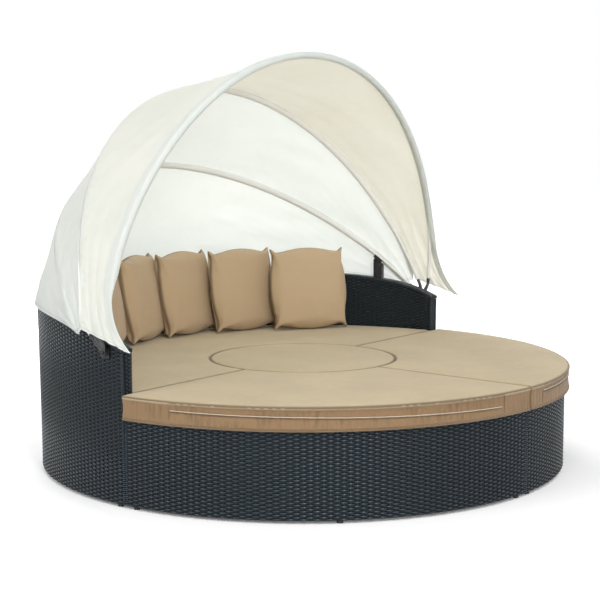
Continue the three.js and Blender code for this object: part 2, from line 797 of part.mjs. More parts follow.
// A point over a bow: angle runs from the right arm over the top to the left arm
function overBow(bow, angle, seamShift) {
  const x = (bow.halfWidth + clothOffset) * Math.cos(angle);
  const reach = (bow.reach + clothOffset) * Math.sin(angle);
  const turn = bow.angle * degrees;
  const y = pivotY + reach * Math.cos(turn) - seamShift * Math.sin(turn);
  const z = pivotHeight + reach * Math.sin(turn) + seamShift * Math.cos(turn);
  return new THREE.Vector3(x, y, z);
}

// The line that a panel's edge follows: over its bow, flaring at each end to a hanging corner
function bowEdge(bow, corner, seamShift) {
  const startReach = (corner.z - pivotHeight) / Math.sin(bow.angle * degrees);
  const start = Math.asin(startReach / (bow.reach + clothOffset));
  return (share) => {
    const angle = start + (Math.PI - 2 * start) * share;
    const point = overBow(bow, angle, seamShift);
    const side = share < 0.5 ? 1 : -1;
    const end = overBow(bow, start, seamShift);
    const rise = Math.hypot(point.y - end.y, point.z - end.z);
    const fade = Math.exp(-rise / clothFlareRun);
    point.x += side * fade * (bow.halfWidth + clothOffset + corner.flare - end.x);
    point.y += fade * (corner.y - end.y);
    return point;
  };
}

function hemEdge(share) {
  const start = hemStartAngle * degrees;
  const angle = start + (Math.PI - 2 * start) * share;
  const past = angleFromArm(angle) - hemStartAngle;
  const radius = edgeRadius - clothThickness + hemSideFlare * Math.exp(-past / hemFlareAngle);
  const z = hemTopHeight - (hemTopHeight - rearCorner.z) * Math.exp(-past / hemRiseAngle);
  return polar(radius, angle, z);
}

function clothPanel(firstEdge, secondEdge, acrossSteps, sag, folds) {
  const middle = new THREE.Vector3(0, pivotY, pivotHeight);
  const stations = [];
  for (let i = 0; i <= clothSteps; i += 1) {
    const share = 0.5 - 0.5 * Math.cos(Math.PI * (i / clothSteps));
    const along = clothEvenShare * (i / clothSteps) + (1 - clothEvenShare) * share;
    const first = firstEdge(along);
    const second = secondEdge(along);
    const width = first.distanceTo(second);
    const inner = [];
    const outer = [];
    for (let j = 0; j <= acrossSteps; j += 1) {
      const across = j / acrossSteps;
      const point = first.clone().lerp(second, across);
      const outward = point.clone().sub(middle).normalize();
      const height = Math.max(point.z - pivotHeight, 0);
      const bell = Math.sin(Math.PI * across);
      const fold = clothFoldDepth * Math.exp(-height / clothFoldRun) * Math.sin(folds * fullTurn * across);
      const widthShare = Math.min(width / (2 * clothFoldRun), 1);
      point.addScaledVector(outward, -sag * bell * widthShare + Math.abs(fold) * bell);
      inner.push(point);
      outer.push(point.clone().addScaledVector(outward, clothThickness));
    }
    stations.push([...inner, ...outer.reverse()]);
  }
  return loft(stations);
}

const frontPanel = clothPanel(
  bowEdge(frontBow, frontTip, 0),
  bowEdge(middleBow, frontCorner, clothSeamGap),
  frontPanelSteps, clothSag, 2,
);
addMesh(daybed, 'canopy_panel_front', frontPanel, clothMaterial);
const middlePanel = clothPanel(
  bowEdge(middleBow, middleCorner, -clothSeamGap),
  bowEdge(rearBow, rearCorner, clothSeamGap),
  sidePanelSteps, clothSag, 1,
);
addMesh(daybed, 'canopy_panel_middle', middlePanel, clothMaterial);
const rearPanel = clothPanel(bowEdge(rearBow, rearCorner, -clothSeamGap), hemEdge, sidePanelSteps, 0, 1);
addMesh(daybed, 'canopy_panel_rear', rearPanel, clothMaterial);

export default daybed;
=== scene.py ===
"""Outdoor daybed: woven strands, sewn cushions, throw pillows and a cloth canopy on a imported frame."""

import math
from contextlib import contextmanager

import bmesh
import bpy
import numpy as np
from bpy.props import FloatProperty, FloatVectorProperty, PointerProperty
from mathutils import Matrix, Vector, noise


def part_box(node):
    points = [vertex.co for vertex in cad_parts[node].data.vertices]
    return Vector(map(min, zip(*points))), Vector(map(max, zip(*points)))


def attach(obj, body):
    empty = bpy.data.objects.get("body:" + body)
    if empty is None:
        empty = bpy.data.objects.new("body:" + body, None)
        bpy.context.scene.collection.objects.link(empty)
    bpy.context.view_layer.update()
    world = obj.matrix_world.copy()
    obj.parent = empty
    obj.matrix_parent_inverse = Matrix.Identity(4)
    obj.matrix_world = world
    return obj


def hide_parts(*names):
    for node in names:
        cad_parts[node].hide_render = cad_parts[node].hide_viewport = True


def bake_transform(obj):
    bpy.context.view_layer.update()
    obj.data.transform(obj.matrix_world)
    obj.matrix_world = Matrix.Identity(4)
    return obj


bl_info = {
    "name": "Woven daybed with canopy",
    "version": (1, 0, 0),
    "blender": (4, 5, 0),
    "location": "View3D > Sidebar > Daybed",
    "description": "Dresses the daybed's frame with weave, cushions, pillows and canopy cloth",
    "category": "Add Mesh",
}

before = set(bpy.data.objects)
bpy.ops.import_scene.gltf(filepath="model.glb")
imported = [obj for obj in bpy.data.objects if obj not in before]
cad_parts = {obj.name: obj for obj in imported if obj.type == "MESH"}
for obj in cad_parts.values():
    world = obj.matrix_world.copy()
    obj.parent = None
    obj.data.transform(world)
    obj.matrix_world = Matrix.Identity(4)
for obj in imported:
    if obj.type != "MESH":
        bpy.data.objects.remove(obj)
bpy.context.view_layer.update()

# Driving places, read from the frame
BASE_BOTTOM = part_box("round_ottoman_weave")[0].z
BASE_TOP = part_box("round_ottoman_weave")[1].z
BASE_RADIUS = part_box("ottoman_right_weave")[1].x
CENTRE_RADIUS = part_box("round_ottoman_weave")[1].x
WALL_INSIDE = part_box("sofa_arm_end_right")[0].x
RIM_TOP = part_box("sofa_rim_braid")[1].z
ARM_RIM_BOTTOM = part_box("sofa_rim_braid")[0].z
CUSHION_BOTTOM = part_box("sofa_cushion")[0].z
CUSHION_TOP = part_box("sofa_cushion")[1].z
CUSHION_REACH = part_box("ottoman_right_cushion")[1].x
SOFA_CUSHION_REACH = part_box("sofa_cushion")[1].x

# Sizes that the frame and this script share, in metres and radians
FRONT_SEAM = math.radians(-93.3)
CLEARANCE = 0.0003
SECTION_INSIDE = CENTRE_RADIUS + 2 * CLEARANCE
RIM_THICKNESS = 0.016
RIM_OVERHANG = 0.0015
RIM_RISE_ANGLE = math.radians(12)
RIM_LEAN = 0.008  # how far a strand's middle leads its ends
RIM_CORE_INSET = 0.004
WALL_FLARE = 0.010
ARM_RIM_TOP = ARM_RIM_BOTTOM + RIM_THICKNESS
FOOT_HEIGHT = BASE_BOTTOM - CLEARANCE
SHARP_STRAND = math.radians(50)  # a fold this sharp stays an edge in strands
SHARP_CLOTH = math.radians(60)  # and in cloth


def length_setting(name, description, default):
    """A length among the settings."""
    return FloatProperty(name=name, description=description, default=default, unit="LENGTH")


def angle_setting(name, description, degrees):
    """An angle among the settings."""
    return FloatProperty(name=name, description=description, default=math.radians(degrees), subtype="ANGLE")


def number_setting(name, description, default):
    """A plain number among the settings."""
    return FloatProperty(name=name, description=description, default=default)


def colour_setting(name, description, default):
    """A colour among the settings."""
    return FloatVectorProperty(name=name, description=description, default=default, subtype="COLOR")


class WeaveSettings(bpy.types.PropertyGroup):
    """Sizes and colour of the woven strands."""

    row_pitch: length_setting("Row pitch", "Height of one woven row", 0.00743)
    stake_pitch: length_setting("Stake pitch", "Distance between stakes", 0.024)
    strand_width: length_setting("Strand width", "Width of a flat strand", 0.0070)
    strand_rise: length_setting("Strand rise", "How far a strand bows over a stake", 0.0021)
    stake_width: length_setting("Stake width", "Width of an upright stake", 0.0075)
    post_size: length_setting("Post size", "Side of a wound corner post", 0.012)
    rim_pitch: length_setting("Rim pitch", "Distance between the strips wound round the rim", 0.0075)
    colour: colour_setting("Colour", "Colour of the strands", (0.0092, 0.0126, 0.0157))


class CushionSettings(bpy.types.PropertyGroup):
    """Sizes and colour of the seat cushions."""

    piping_radius: length_setting("Piping radius", "Radius of the cord along the seams", 0.0028)
    wrinkle: length_setting("Wrinkle", "Height of the wrinkles along the seams", 0.0022)
    cell: length_setting("Cell", "Size of the mesh cells", 0.010)
    colour: colour_setting("Colour", "Colour of the cushions' tops", (0.48, 0.385, 0.240))
    # The sides' colour is the tops' cloth painted darker, as painted shade.
    shaded_side_colour: colour_setting("Side colour", "Colour of the cushions' sides", (0.224, 0.134, 0.064))
    pillow_colour: colour_setting("Pillow colour", "Colour of the throw pillows", (0.50, 0.365, 0.225))


class StageSettings(bpy.types.PropertyGroup):
    """Camera, floor and light."""

    camera_azimuth: angle_setting("Azimuth", "Camera's heading", -53.54)
    camera_pitch: angle_setting("Pitch", "How far the camera looks down", 6.56)
    camera_place: FloatVectorProperty(
        name="Place", description="Where the camera stands", subtype="XYZ", unit="LENGTH",
        default=(-4.7462, -3.4920, 1.3475),
    )
    focal_length: number_setting("Focal length", "Lens for a 36 mm sensor, in millimetres", 83.82)
    floor_size: length_setting("Floor size", "Side of the square floor", 60)
    floor_colour: colour_setting("Floor colour", "Pale floor", (0.90, 0.90, 0.90))
    floor_lift: number_setting("Floor lift", "What the floor adds to look white where nothing shades it", 0.12)
    key_power: number_setting("Key power", "Strength of the large lamp overhead", 190)
    fill_power: number_setting("Fill power", "Strength of the soft lamp at the left", 122)
    front_power: number_setting("Front power", "Strength of the lamp by the camera", 165)
    back_power: number_setting("Back power", "Strength of the lamp that shines through the cloth", 285)
    world_strength: number_setting("World", "Strength of the surrounding light", 0.60)


# Selecting and modifiers


def activate(piece):
    """Makes a piece the only selected one."""
    bpy.ops.object.select_all(action="DESELECT")
    piece.select_set(True)
    bpy.context.view_layer.objects.active = piece


def apply_modifier(piece, kind, **settings):
    """Adds a modifier, sets it and applies it."""
    activate(piece)
    bpy.ops.object.modifier_add(type=kind)
    modifier = piece.modifiers[-1]
    for name, value in settings.items():
        setattr(modifier, name, value)
    bpy.ops.object.modifier_apply(modifier=modifier.name)


def repeat(piece, count, step, **settings):
    """Repeats a piece in even steps."""
    apply_modifier(
        piece, "ARRAY", count=count, use_relative_offset=False, use_constant_offset=True,
        constant_offset_displace=step, **settings,
    )


@contextmanager
def editing(piece):
    """Edit mode for a piece, with all of it selected, until the block ends."""
    activate(piece)
    bpy.ops.object.mode_set(mode="EDIT")
    bpy.ops.mesh.select_all(action="SELECT")
    yield
    bpy.ops.object.mode_set(mode="OBJECT")


def face_outwards(piece):
    """Turns every face of a closed piece outwards."""
    with editing(piece):
        bpy.ops.mesh.normals_make_consistent(inside=False)


def apply_place(piece):
    """Puts a piece's place into its mesh."""
    activate(piece)
    bpy.ops.object.transform_apply(location=True, rotation=True, scale=True)


def upright_grid(cells, size, middle=(0, 0, 0)):
    """A flat grid in the XZ plane that faces -Y."""
    bpy.ops.mesh.primitive_grid_add(
        x_subdivisions=cells[0], y_subdivisions=cells[1], size=1, location=middle, rotation=(math.pi / 2, 0, 0)
    )
    grid = bpy.context.object
    grid.scale = (size[0], size[1], 1)
    apply_place(grid)
    return grid


def join_pieces(pieces, name):
    """Joins pieces into the first one."""
    bpy.ops.object.select_all(action="DESELECT")
    for piece in pieces:
        piece.select_set(True)
    bpy.context.view_layer.objects.active = pieces[0]
    if len(pieces) > 1:
        bpy.ops.object.join()
    pieces[0].name = name
    pieces[0].data.name = name
    return pieces[0]


def select_parts(piece, test, kind="VERT"):
    """In edit mode, selects the vertices, edges or faces whose middle passes the test."""
    bpy.ops.mesh.select_mode(type=kind)
    bpy.ops.mesh.select_all(action="DESELECT")
    mesh = bmesh.from_edit_mesh(piece.data)
    for part in {"VERT": mesh.verts, "EDGE": mesh.edges, "FACE": mesh.faces}[kind]:
        if kind == "VERT":
            middle = part.co
        elif kind == "EDGE":
            middle = (part.verts[0].co + part.verts[1].co) / 2
        else:
            middle = part.calc_center_median()
        part.select_set(bool(test(middle)))
    mesh.select_flush_mode()
    bmesh.update_edit_mesh(piece.data)


def points_of(piece):
    """A mesh's vertices as an array."""
    points = np.empty(len(piece.data.vertices) * 3)
    piece.data.vertices.foreach_get("co", points)
    return points.reshape(-1, 3)


def set_points(piece, points):
    """Writes an array back to a mesh's vertices."""
    piece.data.vertices.foreach_set("co", points.ravel())
    piece.data.update()


def smooth(piece, angle=None):
    """Shades a piece smooth, all over or up to an angle."""
    activate(piece)
    if angle is None:
        bpy.ops.object.shade_smooth()
    else:
        bpy.ops.object.shade_smooth_by_angle(angle=angle)


def finish_piece(piece, body, material, replaced=()):
    """Gives a piece its material and slot, and lets it ride on its body."""
    piece.data.materials.clear()
    piece.data.materials.append(material)
    if replaced:
        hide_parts(*replaced)
    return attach(piece, body)


# Node groups and materials


def rgba(colour, times=1.0):
    """A colour made darker or lighter, with full alpha."""
    return tuple(min(1.0, times * part) for part in colour) + (1.0,)


def new_group(name, inputs, outputs):
    """A shader node group with named inputs (name, socket, default) and outputs (name, socket)."""
    group = bpy.data.node_groups.new(name, "ShaderNodeTree")
    for label, socket, default in inputs:
        made = group.interface.new_socket(name=label, in_out="INPUT", socket_type=socket)
        if default is not None:
            made.default_value = default
    for label, socket in outputs:
        group.interface.new_socket(name=label, in_out="OUTPUT", socket_type=socket)
    return group, group.nodes.new("NodeGroupInput"), group.nodes.new("NodeGroupOutput")


class Tree:
    """Short names for adding and linking nodes."""

    def __init__(self, tree):
        self.tree = tree

    def add(self, kind, **settings):
        node = self.tree.nodes.new("ShaderNode" + kind)
        for name, value in settings.items():
            setattr(node, name, value)
        return node

    def link(self, source, target):
        self.tree.links.new(source, target)

    def math(self, operation, *values):
        node = self.add("Math", operation=operation)
        for socket, value in zip(node.inputs, values):
            if isinstance(value, (int, float)):
                socket.default_value = value
            else:
                self.link(value, socket)
        return node.outputs[0]

    def times(self, first, second):
        return self.math("MULTIPLY", first, second)

    def plus(self, first, second):
        return self.math("ADD", first, second)

    def place(self):
        """Where a point is on its object."""
        return self.add("TexCoord").outputs["Object"]

    def uv(self, name):
        return self.add("UVMap", uv_map=name).outputs[0]

    def split(self, vector):
        """The three parts of a vector."""
        node = self.add("SeparateXYZ")
        self.link(vector, node.inputs[0])
        return node.outputs

    def noise(self, vector, scale, detail=2.0):
        node = self.add("TexNoise")
        node.inputs["Scale"].default_value = scale
        node.inputs["Detail"].default_value = detail
        self.link(vector, node.inputs["Vector"])
        return node.outputs["Fac"]

    def stretch(self, vector, scale):
        node = self.add("VectorMath", operation="MULTIPLY")
        node.inputs[1].default_value = scale
        self.link(vector, node.inputs[0])
        return node.outputs[0]

    def span(self, value, low, high, to_low=0.0, to_high=1.0):
        node = self.add("MapRange")
        node.inputs["From Min"].default_value = low
        node.inputs["From Max"].default_value = high
        node.inputs["To Min"].default_value = to_low
        node.inputs["To Max"].default_value = to_high
        self.link(value, node.inputs["Value"])
        return node.outputs["Result"]

    def blend(self, factor, first, second):
        node = self.add("Mix", data_type="RGBA")
        for socket, value in ((node.inputs[0], factor), (node.inputs[6], first), (node.inputs[7], second)):
            if isinstance(value, (tuple, float)):
                socket.default_value = value
            else:
                self.link(value, socket)
        return node.outputs[2]


def thread_group():
    """Plain woven threads: their height, and a mask that is dark in the gaps between them."""
    group, source, result = new_group(
        "threads",
        [("Vector", "NodeSocketVector", None), ("Threads per metre", "NodeSocketFloat", 900.0)],
        [("Height", "NodeSocketFloat"), ("Gap", "NodeSocketFloat")],
    )
    t = Tree(group)
    split = t.split(source.outputs["Vector"])
    along = t.times(split[0], source.outputs["Threads per metre"])
    across = t.times(split[1], source.outputs["Threads per metre"])
    warp = t.math("ABSOLUTE", t.math("SINE", t.times(along, math.pi)))
    weft = t.math("ABSOLUTE", t.math("SINE", t.times(across, math.pi)))
    cell = t.plus(t.math("FLOOR", along), t.math("FLOOR", across))
    over = t.math("FLOORED_MODULO", cell, 2.0)
    first = t.times(warp, over)
    second = t.times(weft, t.math("SUBTRACT", 1.0, over))
    t.link(t.plus(first, second), result.inputs["Height"])
    t.link(t.times(warp, weft), result.inputs["Gap"])
    return group


def mottle_group():
    """Broad and fine unevenness, as a factor round 0.5."""
    group, source, result = new_group(
        "mottle",
        [("Vector", "NodeSocketVector", None), ("Scale", "NodeSocketFloat", 6.0)],
        [("Factor", "NodeSocketFloat")],
    )
    t = Tree(group)
    broad = t.add("TexNoise")
    fine = t.add("TexNoise")
    for node, times in ((broad, 1.0), (fine, 9.0)):
        t.link(source.outputs["Vector"], node.inputs["Vector"])
        t.link(t.times(source.outputs["Scale"], times), node.inputs["Scale"])
        node.inputs["Detail"].default_value = 3.0
    share = t.times(broad.outputs["Fac"], 0.65)
    rest = t.times(fine.outputs["Fac"], 0.35)
    t.link(t.plus(share, rest), result.inputs["Factor"])
    return group


def dust_group():
    """A thin settling of dust on what faces up."""
    group, source, result = new_group(
        "dust",
        [("Amount", "NodeSocketFloat", 0.2)],
        [("Mask", "NodeSocketFloat")],
    )
    t = Tree(group)
    place = t.place()
    facing = t.split(t.add("NewGeometry").outputs["Normal"])
    up = t.math("MAXIMUM", facing[2], 0.0)
    patches = t.span(t.noise(place, 7.0, 4.0), 0.35, 0.75)
    mask = t.times(t.times(up, patches), source.outputs["Amount"])
    t.link(mask, result.inputs["Mask"])
    return group


def stitch_and_shade_group():
    """A row of stitching at a distance from a sewn edge, widened by painted shade beside the seam, as a mask.
    The vector is the run and the distance.
    """
    group, source, result = new_group(
        "stitches",
        [("Vector", "NodeSocketVector", None), ("Distance", "NodeSocketFloat", 0.016)],
        [("Line", "NodeSocketFloat")],
    )
    t = Tree(group)
    run, distance = t.split(source.outputs["Vector"])[:2]
    away = t.math("ABSOLUTE", t.math("SUBTRACT", distance, source.outputs["Distance"]))
    line = t.span(away, 0.0008, 0.0032, 1.0, 0.0)
    pulse = t.math("SINE", t.times(run, 2 * math.pi / 0.0045))
    t.link(t.times(line, t.span(pulse, -0.6, 0.0, 0.6, 1.0)), result.inputs["Line"])
    return group


STEEL_GRAIN = (900.0, 2.0, 0.00008)  # scale, detail and depth of the powder coat's orange peel

# Which part of a cushion a point is on: the first number of its "sewn" UV. The cloth's finish paints shade on
# the sides, the cords and the sewn lines, and a highlight on the zips' strips.
ON_SIDE, ON_BOTTOM_CORD, ON_SHADED_CORD, ON_ZIP_HIGHLIGHT, ON_PILLOW = 1.0, 1.7, 2.0, 3.0, 4.0


class Finishes:
    """The materials, each made once when it is first asked for."""

    def __init__(self):
        self.made = {}
        self.groups = {
            "threads": thread_group(), "mottle": mottle_group(),
            "dust": dust_group(), "stitches": stitch_and_shade_group(),
        }

    def get(self, name):
        if name not in self.made:
            self.made[name] = getattr(self, name)()
        return self.made[name]

    def start(self, name, **values):
        """A new material, with fixed values for inputs of its shader. An underscore stands for a blank."""
        material = bpy.data.materials.new(name)
        material.use_nodes = True
        shader = material.node_tree.nodes["Principled BSDF"]
        for label, value in values.items():
            shader.inputs[label.replace("_", " ")].default_value = value
        return material, Tree(material.node_tree), shader

    def group(self, tree, name, **inputs):
        node = tree.add("Group")
        node.node_tree = self.groups[name]
        for label, value in inputs.items():
            socket = node.inputs[label.replace("_", " ")]
            if isinstance(value, (int, float)):
                socket.default_value = value
            else:
                tree.link(value, socket)
        return node

    def bump(self, tree, shader, height, distance, strength=1.0):
        node = tree.add("Bump")
        node.inputs["Distance"].default_value = distance
        node.inputs["Strength"].default_value = strength
        tree.link(height, node.inputs["Height"])
        tree.link(node.outputs["Normal"], shader.inputs["Normal"])

    def dark_weave(self):
        """Flat plastic strand: satin, rounded across, with painted shade where it dives under a stake and a
        painted highlight along it where it passes over.
        """
        weave = bpy.context.scene.daybed_weave
        tint = (0.76, 0.90, 1.0, 1.0)
        material, t, shader = self.start("dark_weave", Specular_IOR_Level=0.36, Specular_Tint=tint)
        uv = t.uv("strands")
        lift, across = t.split(t.uv("lift"))[:2]
        along, up = t.split(uv)[:2]
        row = t.math("FLOOR", t.math("DIVIDE", up, weave.row_pitch))
        run = t.math("FLOOR", t.math("DIVIDE", along, weave.stake_pitch))
        by_strand = t.add("TexWhiteNoise", noise_dimensions="1D")
        t.link(t.plus(row, t.times(run, 0.37)), by_strand.inputs["W"])
        streaks = t.noise(t.stretch(uv, (9.0, 900.0, 0.0)), 1.0, 3.0)
        cloud = self.group(t, "mottle", Vector=t.place(), Scale=5.0)
        # Painted shade: a strand is darker where it dives behind a stake and lighter where it passes over.
        over = t.span(lift, 0.15, 0.95)
        colour = t.blend(over, rgba(weave.colour, 0.30), rgba(weave.colour, 1.30))
        # Painted highlight: a bright line across the upper part of a strand where it passes over a stake,
        # uneven from strand to strand.
        away = t.math("ABSOLUTE", t.math("SUBTRACT", across, 0.60))
        painted_glint = t.times(t.span(away, 0.10, 0.34, 1.0, 0.0), t.span(lift, 0.55, 1.05))
        uneven = t.plus(t.times(by_strand.outputs["Value"], 0.55), t.times(streaks, 0.45))
        painted_glint = t.times(painted_glint, t.span(uneven, 0.15, 0.85, 0.25, 1.0))
        colour = t.blend(painted_glint, colour, rgba(weave.colour, 4.4))
        dust = self.group(t, "dust", Amount=0.05)
        colour = t.blend(dust.outputs["Mask"], colour, (0.32, 0.30, 0.27, 1.0))
        t.link(colour, shader.inputs["Base Color"])
        satin = t.span(cloud.outputs["Factor"], 0.3, 0.7, 0.22, 0.32)
        t.link(t.plus(satin, t.span(over, 0.0, 1.0, 0.30, 0.0)), shader.inputs["Roughness"])
        off_middle = t.math("SUBTRACT", across, 0.5)
        rounded = t.times(t.times(off_middle, off_middle), -4.0)
        relief = t.plus(rounded, t.times(streaks, 0.20))
        self.bump(t, shader, relief, 0.0012)
        return material

    def mottled(self, name, scale, dark, light, roughness, grain=None):
        """A finish in two close tints. roughness is a value or a range. grain is scale, detail and depth."""
        material, t, shader = self.start(name)
        place = t.place()
        patches = self.group(t, "mottle", Vector=place, Scale=scale).outputs["Factor"]
        colour = t.blend(patches, rgba(dark), rgba(light))
        t.link(colour, shader.inputs["Base Color"])
        if isinstance(roughness, tuple):
            t.link(t.span(patches, 0.3, 0.7, *roughness), shader.inputs["Roughness"])
        else:
            shader.inputs["Roughness"].default_value = roughness
        if grain:
            self.bump(t, shader, t.noise(place, grain[0], grain[1]), grain[2])
        return material, t, shader, colour

    def dark_backing(self):
        """What shows deep between the strands: unlit plastic and shadow."""
        return self.mottled("dark_backing", 30.0, (0.004, 0.004, 0.005), (0.014, 0.014, 0.017), 0.8)[0]

    def glide_plastic(self):
        """Moulded glides, scuffed in patches."""
        dark, light = (0.008, 0.008, 0.008), (0.035, 0.034, 0.033)
        return self.mottled("glide_plastic", 60.0, dark, light, 0.55, (1500.0, 2.0, 0.00006))[0]

    def pad_rubber(self):
        """Matt rubber of the rest pads."""
        dark, light = (0.010, 0.010, 0.010), (0.028, 0.027, 0.026)
        return self.mottled("pad_rubber", 80.0, dark, light, 0.85, (2500.0, 1.0, 0.00005))[0]

    def black_steel(self):
        """Powder coat: fine orange peel and slightly rubbed patches."""
        dark, light = (0.012, 0.012, 0.013), (0.034, 0.034, 0.036)
        material, _, shader, _ = self.mottled("black_steel", 14.0, dark, light, (0.34, 0.52), STEEL_GRAIN)
        shader.inputs["Metallic"].default_value = 0.3
        return material

    def bow_metal(self):
        """Powder-coated tube, rubbed bright here and there."""
        dark, light = (0.018, 0.018, 0.019), (0.042, 0.042, 0.044)
        material, t, shader, colour = self.mottled("bow_metal", 20.0, dark, light, (0.32, 0.50), STEEL_GRAIN)
        along = t.stretch(t.place(), (9.0, 60.0, 60.0))
        rubbed = t.span(t.noise(along, 1.0, 3.0), 0.66, 0.74, 0.0, 0.5)
        t.link(t.blend(rubbed, colour, (0.16, 0.16, 0.16, 1.0)), shader.inputs["Base Color"])
        t.link(rubbed, shader.inputs["Metallic"])
        return material

    def deck_weave(self):
        """Open plastic webbing on the decks under the cushions."""
        material, t, shader = self.start("deck_weave", Roughness=0.5)
        place = t.place()
        webbing = self.group(t, "threads", Vector=place, Threads_per_metre=34.0).outputs["Height"]
        colour = t.blend(webbing, (0.010, 0.010, 0.012, 1.0), (0.040, 0.042, 0.048, 1.0))
        t.link(colour, shader.inputs["Base Color"])
        self.bump(t, shader, webbing, 0.003)
        return material

    def tan_cloth(self):
        """Spun tan cloth of the seat cushions and pillows, with painted shade on the cushions' sides and cords
        and along the seams, and a painted highlight on the zips.
        """
        settings = bpy.context.scene.daybed_cushions
        material, t, shader = self.start("tan_cloth", Roughness=0.88, Sheen_Weight=0.15, Sheen_Roughness=0.4)
        uv = t.uv("cloth")
        place = t.place()
        threads = self.group(t, "threads", Vector=uv, Threads_per_metre=850.0)
        cloud = self.group(t, "mottle", Vector=place, Scale=4.0)
        slubs = t.noise(t.stretch(uv, (60.0, 900.0, 0.0)), 1.0, 2.0)
        kind, from_seam = t.split(t.uv("sewn"))[:2]
        cloudy = t.span(cloud.outputs["Factor"], 0.35, 0.65)
        colour = t.blend(cloudy, rgba(settings.colour, 0.90), rgba(settings.colour, 1.06))
        gathered = t.noise(t.stretch(uv, (64.0, 10.0, 0.0)), 1.0, 2.0)
        patches = t.span(t.noise(t.stretch(uv, (7.0, 14.0, 0.0)), 1.0, 1.0), 0.40, 0.62)
        # Painted shade in the gathers on the sides.
        crease_shade = t.times(t.span(gathered, 0.46, 0.64), patches)
        # Painted shade: the sides are a darker copy of the tops' cloth, darker still in the gathers.
        side = t.blend(crease_shade, rgba(settings.shaded_side_colour), rgba(settings.shaded_side_colour, 0.70))
        colour = t.blend(t.span(kind, 0.0, ON_SIDE), colour, side)
        # Painted shade on the cords and sewn lines: the top cord, the upright seams and the line under each zip
        # nearly dark brown, the bottom cord partly.
        colour = t.blend(t.span(kind, ON_SIDE, ON_SHADED_CORD, 0.0, 0.85), colour, (0.110, 0.074, 0.045, 1.0))
        # Painted highlight: the zips' strips are pale, as the lit lower edge of their flaps.
        colour = t.blend(t.span(kind, ON_SHADED_CORD, ON_ZIP_HIGHLIGHT), colour, (0.56, 0.49, 0.40, 1.0))
        colour = t.blend(t.span(kind, ON_ZIP_HIGHLIGHT, ON_PILLOW), colour, rgba(settings.pillow_colour))
        # Painted shade in the crevices along every edge of the cushions' tops and along the pillows' knife
        # edges.
        colour = t.blend(t.span(from_seam, 0.0025, 0.0110, 0.92, 0.0), colour, (0.085, 0.055, 0.032, 1.0))
        shaded = rgba(settings.colour, 0.72)
        colour = t.blend(t.span(slubs, 0.62, 0.80, 0.0, 0.22), colour, shaded)
        colour = t.blend(t.span(threads.outputs["Gap"], 0.0, 0.45, 0.20, 0.0), colour, shaded)
        t.link(colour, shader.inputs["Base Color"])
        on_side = t.times(t.span(kind, 0.3, ON_SIDE), t.span(kind, ON_SIDE, 1.3, 1.0, 0.0))
        relief = t.plus(t.times(threads.outputs["Height"], 0.18), t.noise(place, 38.0, 3.0))
        relief = t.plus(relief, t.times(t.times(gathered, on_side), 6.0))
        self.bump(t, shader, relief, 0.0014, 0.7)
        return material

    def canopy_cloth(self):
        """Off-white polyester of the canopy, which lets light through."""
        return self.let_through("canopy_cloth", (0.845, 0.874, 0.852), (0.89, 0.902, 0.885), 0.60)

    def canopy_lining(self):
        """The front cloth's inner side, in a creamier tint than its outer side, letting less light through."""
        return self.let_through("canopy_lining", (0.88, 0.85, 0.755), (0.92, 0.905, 0.84), 0.48)

    def canopy_band(self):
        """The doubled cloth round the bows, which lets less light through."""
        return self.let_through("canopy_band", (0.87, 0.87, 0.83), (0.91, 0.91, 0.88), 0.14)

    def let_through(self, name, first, second, share):
        """Canopy cloth in two close tints, with its hems' stitching and painted shade beside it. It lets a
        share of the light through.
        """
        material, t, shader = self.start(name, Roughness=0.9, Specular_IOR_Level=0.25)
        uv = t.uv("cloth")
        place = t.place()
        threads = self.group(t, "threads", Vector=uv, Threads_per_metre=1100.0)
        hem = t.uv("hem")
        stitches = self.group(t, "stitches", Vector=hem, Distance=0.0165).outputs["Line"]
        cloud = self.group(t, "mottle", Vector=place, Scale=3.0)
        colour = t.blend(t.span(cloud.outputs["Factor"], 0.3, 0.7), rgba(first), rgba(second))
        gap = t.span(threads.outputs["Gap"], 0.0, 0.4, 0.08, 0.0)
        # Painted shade: the stitch lines darken a band wider than the thread, as the seams' shade.
        shade = t.math("MAXIMUM", gap, t.times(stitches, 0.6))
        colour = t.blend(shade, colour, rgba(first, 0.66))
        t.link(colour, shader.inputs["Base Color"])
        relief = t.plus(t.times(threads.outputs["Height"], 0.1), t.noise(place, 24.0, 3.0))
        self.bump(t, shader, t.math("SUBTRACT", relief, stitches), 0.0010, 0.4)
        through = t.add("BsdfTranslucent")
        t.link(colour, through.inputs["Color"])
        mixed = t.add("MixShader")
        mixed.inputs[0].default_value = share
        t.link(shader.outputs[0], mixed.inputs[1])
        t.link(through.outputs[0], mixed.inputs[2])
        t.link(mixed.outputs[0], t.tree.nodes["Material Output"].inputs["Surface"])
        return material

    def floor(self):
        """Pale floor, white to the camera where nothing shades it."""
        settings = bpy.context.scene.daybed_stage
        material, t, shader = self.start("floor", Roughness=0.9, Emission_Color=(1, 1, 1, 1))
        place = t.place()
        cloud = self.group(t, "mottle", Vector=place, Scale=1.2)
        pale = rgba(settings.floor_colour, 1.02)
        t.link(t.blend(cloud.outputs["Factor"], rgba(settings.floor_colour), pale), shader.inputs["Base Color"])
        away = t.add("VectorMath", operation="LENGTH")
        t.link(place, away.inputs[0])
        lift = t.span(away.outputs["Value"], 1.6, 6.0, settings.floor_lift, 0.7)
        lift = t.times(t.add("LightPath").outputs["Is Camera Ray"], lift)
        t.link(lift, shader.inputs["Emission Strength"])
        return material


# Flat woven panels, bent round the plan


STRAND_CROWN = 0.25  # how much more a strand's middle stands out, as a share of its rise
STRAND_STEPS = (0, 1, 1, 0, -1, -1, 0)  # a strand's places over one stake and under the next


